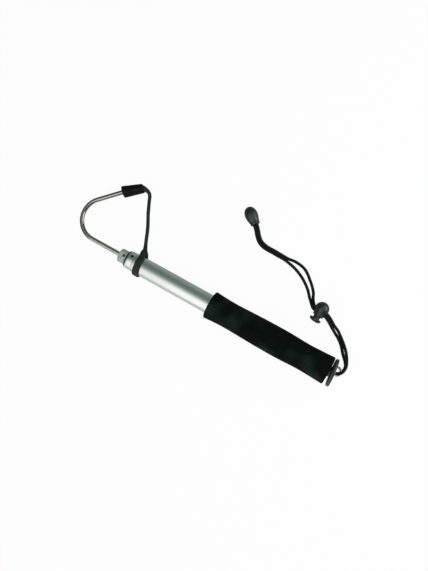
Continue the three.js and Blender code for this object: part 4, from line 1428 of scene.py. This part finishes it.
@dataclass
class Lanyard:
    """The doubled cord, with the spring lock on it and the bell on its ends.

    The routes give x and y in the pole's frame and the height of the cord's middle off the ground.
    The distances of the bell and the lock are along their axes.

    Attributes:
        bell_half: from the bell's middle to each end.
        bell_outline: radius and distance, from its closed end to the lip of its mouth.
        bell_mouth: radius, distance and rounding of its mouth's corners.
        bell_steps: chords in its hollow's round floor.
        plug_slot: width and height of the strands' slot in the plug.
        plug_roundings: of its inner and its outer edge.
        knot_reach: from the knot's middle to its widest bights.
        knot_length: how far it reaches along the bell, as a share of its bights.
        neck_roundings: of the neck's outer edge, its inner edge and the bore's floor.
        passage, plunger_slot: where the strands' passage starts and ends in each.
        spring_span: where the spring's first and last turn are.
        spring_keep: share of its room that it keeps when the plunger is pressed; not used.
        cap_shares: radius and distance of the cap's outline, as shares of its radius and thickness.
    """

    cord: BraidedCord = field(default_factory=BraidedCord)
    outer_route: tuple[Point, ...] = (
        (-153, 108.9, 7.5), (-149.2, 106, 7.5), (-144.7, 101.3, 5.6), (-140.7, 96.3, 3.3),
        (-135.4, 91.7, 2.1), (-128.6, 89.5, 1.8), (-114.8, 89, 1.8), (-100, 88.3, 1.8),
        (-89.2, 89.1, 1.8), (-77.1, 86.7, 1.8), (-65.1, 77.8, 1.8), (-56.4, 68.6, 2.1),
        (-52.8, 61.7, 4), (-50.1, 57.9, 6.6), (-47.5, 55.4, 7.7), (-44, 54.7, 8), (-38.9, 54.3, 8),
        (-33.5, 53.8, 8), (-30, 53.3, 7.6), (-26.6, 51.8, 6.2), (-22.6, 49.5, 3.8),
        (-18.1, 46.6, 2.1), (-11.6, 43.4, 1.8), (-5.3, 38.6, 2.1), (1.7, 32.5, 4.1), (8, 25.3, 9),
        (12, 18.2, 15.4), (13.8, 12.6, 20.4),
    )
    bight_route: tuple[Point, ...] = (
        (13.7, 8.6, 22.3), (12.7, 5.4, 22.8), (11.1, 2.9, 22), (9.5, 1.9, 19.8), (8.9, 1.9, 16.3),
        (9.5, 1.9, 12.8), (11.1, 2.9, 10.6), (12.9, 5.4, 9.8),
    )
    inner_route: tuple[Point, ...] = (
        (14, 9.2, 9.4), (13.4, 13.2, 8.4), (10.6, 17.6, 6.4), (5, 23.5, 3.6), (-1.4, 31.1, 2.1),
        (-7.5, 36.2, 1.8), (-13.8, 39.9, 1.8), (-19.5, 43.5, 2.1), (-24, 46.4, 3.8),
        (-27.8, 48.6, 6.2), (-30.9, 50, 7.6), (-34, 50.5, 8), (-39.2, 51, 8), (-44.6, 51.5, 8),
        (-48.3, 52.6, 7.6), (-51, 54.9, 6.4), (-53.7, 57.7, 4.6), (-57.4, 61.5, 2.6),
        (-62.9, 67.7, 1.8), (-73.4, 75.7, 1.8), (-85.2, 81.4, 1.8), (-99.9, 85, 1.8),
        (-114.8, 85.7, 1.8), (-129.6, 86.3, 1.8), (-137.6, 89.1, 2.1), (-143.3, 94.3, 3.3),
        (-147.2, 99.2, 5.6), (-151.3, 103.3, 7.5), (-155, 106.3, 7.5),
    )
    bell_axis: Axis = in_plane(-158.9, 111.4, -37.4, GROUND_Z + 7.5)
    bell_half: float = 11.0
    bell_bore: float = 4.5
    bell_wall: float = 2.4
    bell_outline: tuple[tuple[float, float], ...] = (
        (0, -11), (1.6, -10.86), (3.1, -10.3), (4.5, -9.25), (5.7, -7.75), (6.65, -5.9),
        (7.25, -4.0), (7.5, -2.2), (7.5, -0.6), (7.35, 1.2), (7.0, 3.2), (6.5, 5.2), (5.95, 7.1),
        (5.5, 8.7),
    )
    bell_mouth: tuple[Point, ...] = ((5.65, 9.4, 0.4), (5.45, 11, 0.7), (4.5, 11, 0.35))
    bell_steps: int = 9
    plug_radius: float = 4.2
    plug_start: float = 5.7
    plug_end: float = 10.7
    plug_slot: tuple[float, float] = (7.2, 3.8)
    plug_roundings: tuple[float, float] = (0.3, 0.5)
    knot_reach: float = 2.6
    knot_centre: float = 0.9
    knot_length: float = 1.4
    knot_points: int = 25
    lock_axis: Axis = in_plane(-38.7, 56.3, 264.8, GROUND_Z + 8)
    ball_radius: float = 8.0
    ball_steps: int = 30
    neck_radius: float = 6.25
    neck_end: float = 9.5
    neck_roundings: Point = (0.9, 0.3, 0.6)
    lock_bore: float = 4.3
    lock_floor: float = -6.0
    lock_edges: Edges = Edges(0.3, 3, 35)
    passage: tuple[float, float] = (0.1, 7.3)
    passage_height: float = 3.8
    slot_reach: float = 14.0
    plunger_radius: float = 4.0
    plunger_start: float = -1.6
    plunger_roundings: tuple[float, float] = (0.4, 0.3)
    plunger_slot: tuple[float, float] = (0.1, 9.8)
    plunger_edges: Edges = Edges(0.15, 2, 40)
    spring_wire: float = 0.6
    spring_radius: float = 3.4
    spring_span: tuple[float, float] = (-5.6, -2.0)
    spring_sides: int = 8
    spring_turns: int = 3
    spring_steps: int = 12  # in each turn
    spring_keep: float = 0.43
    cap_radius: float = 6.75
    cap_start: float = 12.6
    cap_thickness: float = 4.0
    cap_shares: tuple[tuple[float, float], ...] = (
        (0.94, 0), (1, 0.1), (1, 0.35), (0.93, 0.58), (0.8, 0.8), (0.6, 0.94), (0.4, 1), (0, 1.03),
    )

    def build_cords(self) -> list[tuple[Piece, list[Point]]]:
        """Builds the two strands: the outer one goes on round the staple and meets the inner one.

        Returns:
            The outer and the inner strand, each with its centreline in metres.
        """
        strands = []
        for name, route, nodes in (
            ("lanyard_outer_strand", self.bight_route[::-1] + self.outer_route[::-1],
             ("cord_outer_strand", "cord_bight")),
            ("lanyard_inner_strand", self.bight_route[-1:] + self.inner_route,
             ("cord_inner_strand",)),
        ):
            points = [(x, y, GROUND_Z + height) for x, y, height in route]
            piece, path = self.cord.build(name, points)
            strands.append((dress(piece, CORD, "handle", "black_cord", *nodes), path))
        return strands

    def build_bell(self) -> Piece:
        """Turns the bell with its bore.

        Returns:
            The bell.
        """
        lip = rounded([self.bell_outline[-1], *self.bell_mouth,
                       (self.bell_bore, self.bell_wall)])[1:-1]
        floor = -self.bell_half + self.bell_wall + self.bell_bore
        hollow = [(self.bell_bore * math.cos(a), floor - self.bell_bore * math.sin(a))
                  for a in (FULL_TURN / 4 * k / self.bell_steps for k in range(self.bell_steps))]
        profile = [*self.bell_outline, *lip, *hollow, (0, floor - self.bell_bore)]
        bell = turned("cord_end_bell", profile, self.bell_axis, FINE_STEPS)
        return dress(bell, PLASTIC, "handle", "black_plastic", "cord_bell")

    def build_bell_plug(self) -> Piece:
        """Turns the plug that holds the knot in the bell, and mills the strands' slot through it.

        Returns:
            The plug.
        """
        axis, (inner, outer) = self.bell_axis, self.plug_roundings
        plug = turned("bell_plug", rounded([
            (0, self.plug_start), (self.plug_radius, self.plug_start, inner),
            (self.plug_radius, self.plug_end, outer), (0, self.plug_end),
        ]), axis, SMALL_STEPS)
        width, height = self.plug_slot
        face = Axis(axis.start + axis.along * self.plug_start, axis.across, axis.side)
        mill_slot(plug, face, -width / 2, width / 2, height, self.slot_reach)
        return dress(plug, PLASTIC, "handle", "black_plastic", "cord_bell_plug")

    def build_knot(self) -> Piece:
        """Ties the strands' ends in a knot inside the bell.

        Returns:
            The knot.
        """
        axis, reach = self.bell_axis, self.knot_reach / 3
        route = []
        for k in range(self.knot_points):
            t = FULL_TURN * k / self.knot_points
            along = self.knot_centre - reach * self.knot_length * math.sin(3 * t)
            side = reach * (math.sin(t) + 2 * math.sin(2 * t))
            across = reach * (math.cos(t) - 2 * math.cos(2 * t))
            spot = axis.start + axis.along * along + axis.side * side + axis.across * across
            route.append(tuple(spot))
        knot, _path = self.cord.build("strand_knot", route)
        return dress(knot, CORD, "handle", "black_cord", "cord_knot")

    def build_lock_housing(self) -> None:
        """Turns the ball with its neck and bore, and mills the strands' passage through it."""
        join, lowest = math.acos(self.neck_radius / self.ball_radius), -FULL_TURN / 4
        ball = [(0, -self.ball_radius)]
        for k in range(1, self.ball_steps + 1):
            angle = lowest + (join - lowest) * k / self.ball_steps
            ball.append((self.ball_radius * math.cos(angle), self.ball_radius * math.sin(angle)))
        outer, inner, floor = self.neck_roundings
        neck = rounded([ball[-1], (self.neck_radius, self.neck_end, outer),
                        (self.lock_bore, self.neck_end, inner),
                        (self.lock_bore, self.lock_floor, floor), (0, self.lock_floor)])[1:]
        housing = turned("lock_ball", ball + neck, self.lock_axis, FINE_STEPS)
        mill_slot(housing, self.lock_axis, *self.passage, self.passage_height, self.slot_reach)
        self.lock_edges.bevel(housing)
        dress(housing, PLASTIC, "handle", "black_plastic", "cord_lock_housing")

    def build_spring(self) -> None:
        """Winds the plunger's spring."""
        axis = self.lock_axis
        low, high = self.spring_span
        rise = (high - low) / (self.spring_turns * self.spring_steps)
        spring = disc("lock_spring", self.spring_wire / 2, axis.point(self.spring_radius, low),
                      axis.across, self.spring_sides)
        for _ in range(self.spring_turns * self.spring_steps):
            spin(360 / self.spring_steps, axis.along, axis.point(0, 0), 1)
            bpy.ops.transform.translate(value=axis.step(0, rise))
        dress(settle(spring), SPRING_STEEL, "handle", "spring_steel", "cord_lock_spring")
        tuple(axis.point(0, self.lock_floor))
        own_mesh(spring)

    def build_plunger(self) -> None:
        """Turns the plunger with its domed cap, and mills its slot."""
        foot, shoulder = self.plunger_roundings
        cap = [(self.cap_radius * out, self.cap_start + self.cap_thickness * along)
               for out, along in self.cap_shares]
        profile = rounded([(0, self.plunger_start), (self.plunger_radius, self.plunger_start, foot),
                           (self.plunger_radius, self.cap_start, shoulder), cap[0]])
        plunger = turned("lock_button", profile + cap[1:], self.lock_axis, FINE_STEPS)
        mill_slot(plunger, self.lock_axis, *self.plunger_slot, self.passage_height, self.slot_reach)
        self.plunger_edges.bevel(plunger)
        dress(plunger, PLASTIC, "lock_plunger", "black_plastic", "cord_lock_plunger")

    def build(self) -> None:
        """Builds the cords and what is on them."""
        strands = self.build_cords()
        ends = [self.build_bell(), self.build_bell_plug(), self.build_knot()]
        self.build_lock_housing()
        self.build_spring()
        self.build_plunger()


# The studio ----------------------------------------------------------------------------------

@dataclass(frozen=True)
class Lamp:
    """A square soft lamp: its place in the pole's frame, its side in metres and its power."""

    name: str
    spot: Point
    size: float
    watts: float
    seen_in_gloss: bool

    def build(self, target: Vector) -> None:
        """Adds the lamp.

        Args:
            target: what it points at, in metres.
        """
        data = bpy.data.lights.new(self.name, "AREA")
        data.shape, data.size, data.energy = "SQUARE", self.size, self.watts
        lamp = bpy.data.objects.new(self.name, data)
        bpy.context.scene.collection.objects.link(lamp)
        lamp.location = at(*self.spot)
        lamp.visible_glossy = self.seen_in_gloss
        lamp.rotation_euler = (target - lamp.location).to_track_quat("-Z", "Y").to_euler()


@dataclass
class Studio:
    """White floor, even light, and the camera above the gaff as in the photograph.

    Attributes:
        target: what the camera looks at, in the pole's frame.
        distance: from there to the camera.
        tilt: degrees that it leans towards the butt.
        roll: degrees from the picture's right to the pole's.
        view_angle: its vertical angle of view, in degrees.
        clip: nearest and farthest that it sees, in metres.
        floor_size: side of the floor, in metres.
        floor_drop: how far it lies under the ground's level, so that nothing touches it.
        floor_white: how much of the floor the camera sees as plain light.
        floor_shades: painted shade that polished metal sees on the floor, lighter on the pole's -Y
            side and darker on its +Y side.
        floor_fade: the two places across the pole that those shades run between.
        room_power: strength of the room's light.
        room_shades: the room's light, from the pole's -Y side to its +Y side.
        end_colour: the room's light at the pole's two ends.
        end_fade: where it starts and where it is full, as shares of the way to an end.
    """

    target: Point = (-156.75, 21.0, 0)
    distance: float = 760
    tilt: float = 9.2
    roll: float = 28.91
    view_angle: float = 45.93
    clip: tuple[float, float] = (0.01, 50)
    floor_size: float = 6.0
    floor_drop: float = 0.2
    floor_colour: str = "#f2f2f2"
    floor_roughness: float = 0.9
    floor_white: float = 0.95
    # painted shade for polished metal: the floor darkens from the pole's -Y side to its +Y side
    floor_shades: tuple[tuple[float, str], ...] = ((0.3, "#dcdcda"), (0.7, "#9fa4a1"))
    floor_fade: tuple[float, float] = (-60, 20)
    room_power: float = 1.45
    room_shades: tuple[tuple[float, str], ...] = (
        (0.0, "#f4f4f2"), (0.06, "#ffffff"), (0.27, "#ffffff"), (0.4, "#d0d4d1"), (0.5, "#a9b4ae"),
        (0.6, "#818d88"), (0.7, "#65736d"), (0.82, "#5a6862"), (0.94, "#64716b"), (1.0, "#707d77"),
    )
    end_colour: str = "#3c4440"
    end_fade: tuple[float, float] = (0.33, 0.5)
    lamps: tuple[Lamp, ...] = (
        Lamp("top_lamp", (-150, -250, 900), 0.8, 2.5, seen_in_gloss=False),
        Lamp("side_lamp", (683, 573, 420), 0.9, 6.0, seen_in_gloss=True),
    )

    def build_camera(self) -> None:
        """Adds the camera."""
        tilt, roll = math.radians(self.tilt), math.radians(self.roll)
        back = Vector((math.sin(tilt), 0, math.cos(tilt)))
        along, side = Vector((math.cos(tilt), 0, -math.sin(tilt))), Vector((0, 1, 0))
        right = along * math.cos(roll) + side * math.sin(roll)
        up = side * math.cos(roll) - along * math.sin(roll)
        eye = at(*self.target) + back * self.distance * MM
        data = bpy.data.cameras.new("camera")
        data.sensor_fit, data.angle = "VERTICAL", math.radians(self.view_angle)
        data.clip_start, data.clip_end = self.clip
        camera = bpy.data.objects.new("camera", data)
        bpy.context.scene.collection.objects.link(camera)
        camera.matrix_world = Matrix((
            (right.x, up.x, back.x, eye.x), (right.y, up.y, back.y, eye.y),
            (right.z, up.z, back.z, eye.z), (0, 0, 0, 1),
        ))
        bpy.context.scene.camera = camera

    def build_floor(self) -> None:
        """Adds the white floor, which keeps only a faint shadow for the camera, and shows polished
        metal a painted shade across the pole.
        """
        deselect()
        bpy.ops.mesh.primitive_plane_add(size=self.floor_size,
                                         location=(0, 0, -self.floor_drop * MM))
        floor = bpy.context.object
        floor.name = "floor"
        material, tree, shader = new_material("white_paper")
        feed(tree, shader, Base_Color=linear(self.floor_colour), Roughness=self.floor_roughness)
        near, far = (at(0, y, 0).y for y in self.floor_fade)
        place = add_node(tree, "ShaderNodeSeparateXYZ",
                         Vector=add_node(tree, "ShaderNodeTexCoord").outputs["Object"])
        side = add_node(tree, "ShaderNodeMapRange", Value=place.outputs["Y"], From_Min=near,
                        From_Max=far)
        # painted shade: what metal sees of the floor darkens towards the pole's +Y side
        shade = add_node(tree, "ShaderNodeValToRGB", {"stops": self.floor_shades}, Fac=side)
        ray = add_node(tree, "ShaderNodeLightPath").outputs
        colour = add_node(tree, "ShaderNodeMix", {"data_type": "RGBA"}, i0=ray["Is Camera Ray"],
                          i6=shade, i7=(1, 1, 1, 1))
        plain = add_node(tree, "ShaderNodeEmission", Color=colour.outputs[2], Strength=1.0)
        share = add_node(tree, "ShaderNodeMath", {"operation": "MULTIPLY_ADD"},
                         i0=ray["Is Camera Ray"], i1=self.floor_white, i2=ray["Is Glossy Ray"])
        feed(tree, tree.nodes["Material Output"],
             Surface=add_node(tree, "ShaderNodeMixShader", i0=share, i1=shader, i2=plain))
        floor.data.materials.append(material)

    def build_light(self) -> None:
        """Adds the light: a room that is bright on the pole's -Y side, and two soft lamps."""
        world = bpy.data.worlds.new("room")
        bpy.context.scene.world = world
        world.use_nodes = True
        tree = world.node_tree
        place = add_node(tree, "ShaderNodeSeparateXYZ",
                         Vector=add_node(tree, "ShaderNodeTexCoord").outputs["Generated"])
        side = add_node(tree, "ShaderNodeMapRange", Value=place.outputs["Y"], From_Min=-1.0,
                        From_Max=1.0)
        away = add_node(tree, "ShaderNodeMath", {"operation": "ABSOLUTE"}, i0=place.outputs["X"])
        near, far = self.end_fade
        ends = add_node(tree, "ShaderNodeMapRange", Value=away, From_Min=near, From_Max=far)
        room = add_node(tree, "ShaderNodeValToRGB", {"stops": self.room_shades}, Fac=side)
        shade = add_node(tree, "ShaderNodeMix", {"data_type": "RGBA"}, i0=ends, i6=room,
                         i7=linear(self.end_colour))
        seen = add_node(tree, "ShaderNodeLightPath").outputs["Is Camera Ray"]
        colour = add_node(tree, "ShaderNodeMix", {"data_type": "RGBA"}, i0=seen,
                          i6=shade.outputs[2], i7=(1, 1, 1, 1))
        power = add_node(tree, "ShaderNodeMapRange", Value=seen, To_Min=self.room_power, To_Max=1.0)
        feed(tree, tree.nodes["Background"], Color=colour.outputs[2], Strength=power)
        for lamp in self.lamps:
            lamp.build(at(*self.target))


# The CAD nodes that stay, each with its material.
HIDDEN = {
    "butt_plug": PLASTIC, "plug_pin_upper": FERRULE_STEEL, "plug_pin_lower": FERRULE_STEEL,
    "cap_screw": FERRULE_STEEL, "middle_tail_bush": NYLON, "middle_brake_ring": WASHER_RUBBER,
    "inner_tail_bush": NYLON, "inner_brake_ring": WASHER_RUBBER, "tip_plug": ANODISED,
    "ferrule_pin": FERRULE_STEEL,
}


def main() -> None:
    """Builds the gaff and its studio, in order."""
    logging.basicConfig(level=logging.INFO, format="%(name)s: %(message)s")
    studio = Studio()
    studio.build_camera()
    Lanyard().build()
    HandleTube().build()
    FoamGrip().build()
    ButtCap().build()
    Sections().build()
    hook = Hook()
    hook.build()
    PointGuard(hook).build()
    for name, material in HIDDEN.items():
        dress_node(name, material)
    studio.build_floor()
    studio.build_light()
    bpy.context.scene.view_settings.view_transform = "Standard"


if __name__ == "__main__":
    main()
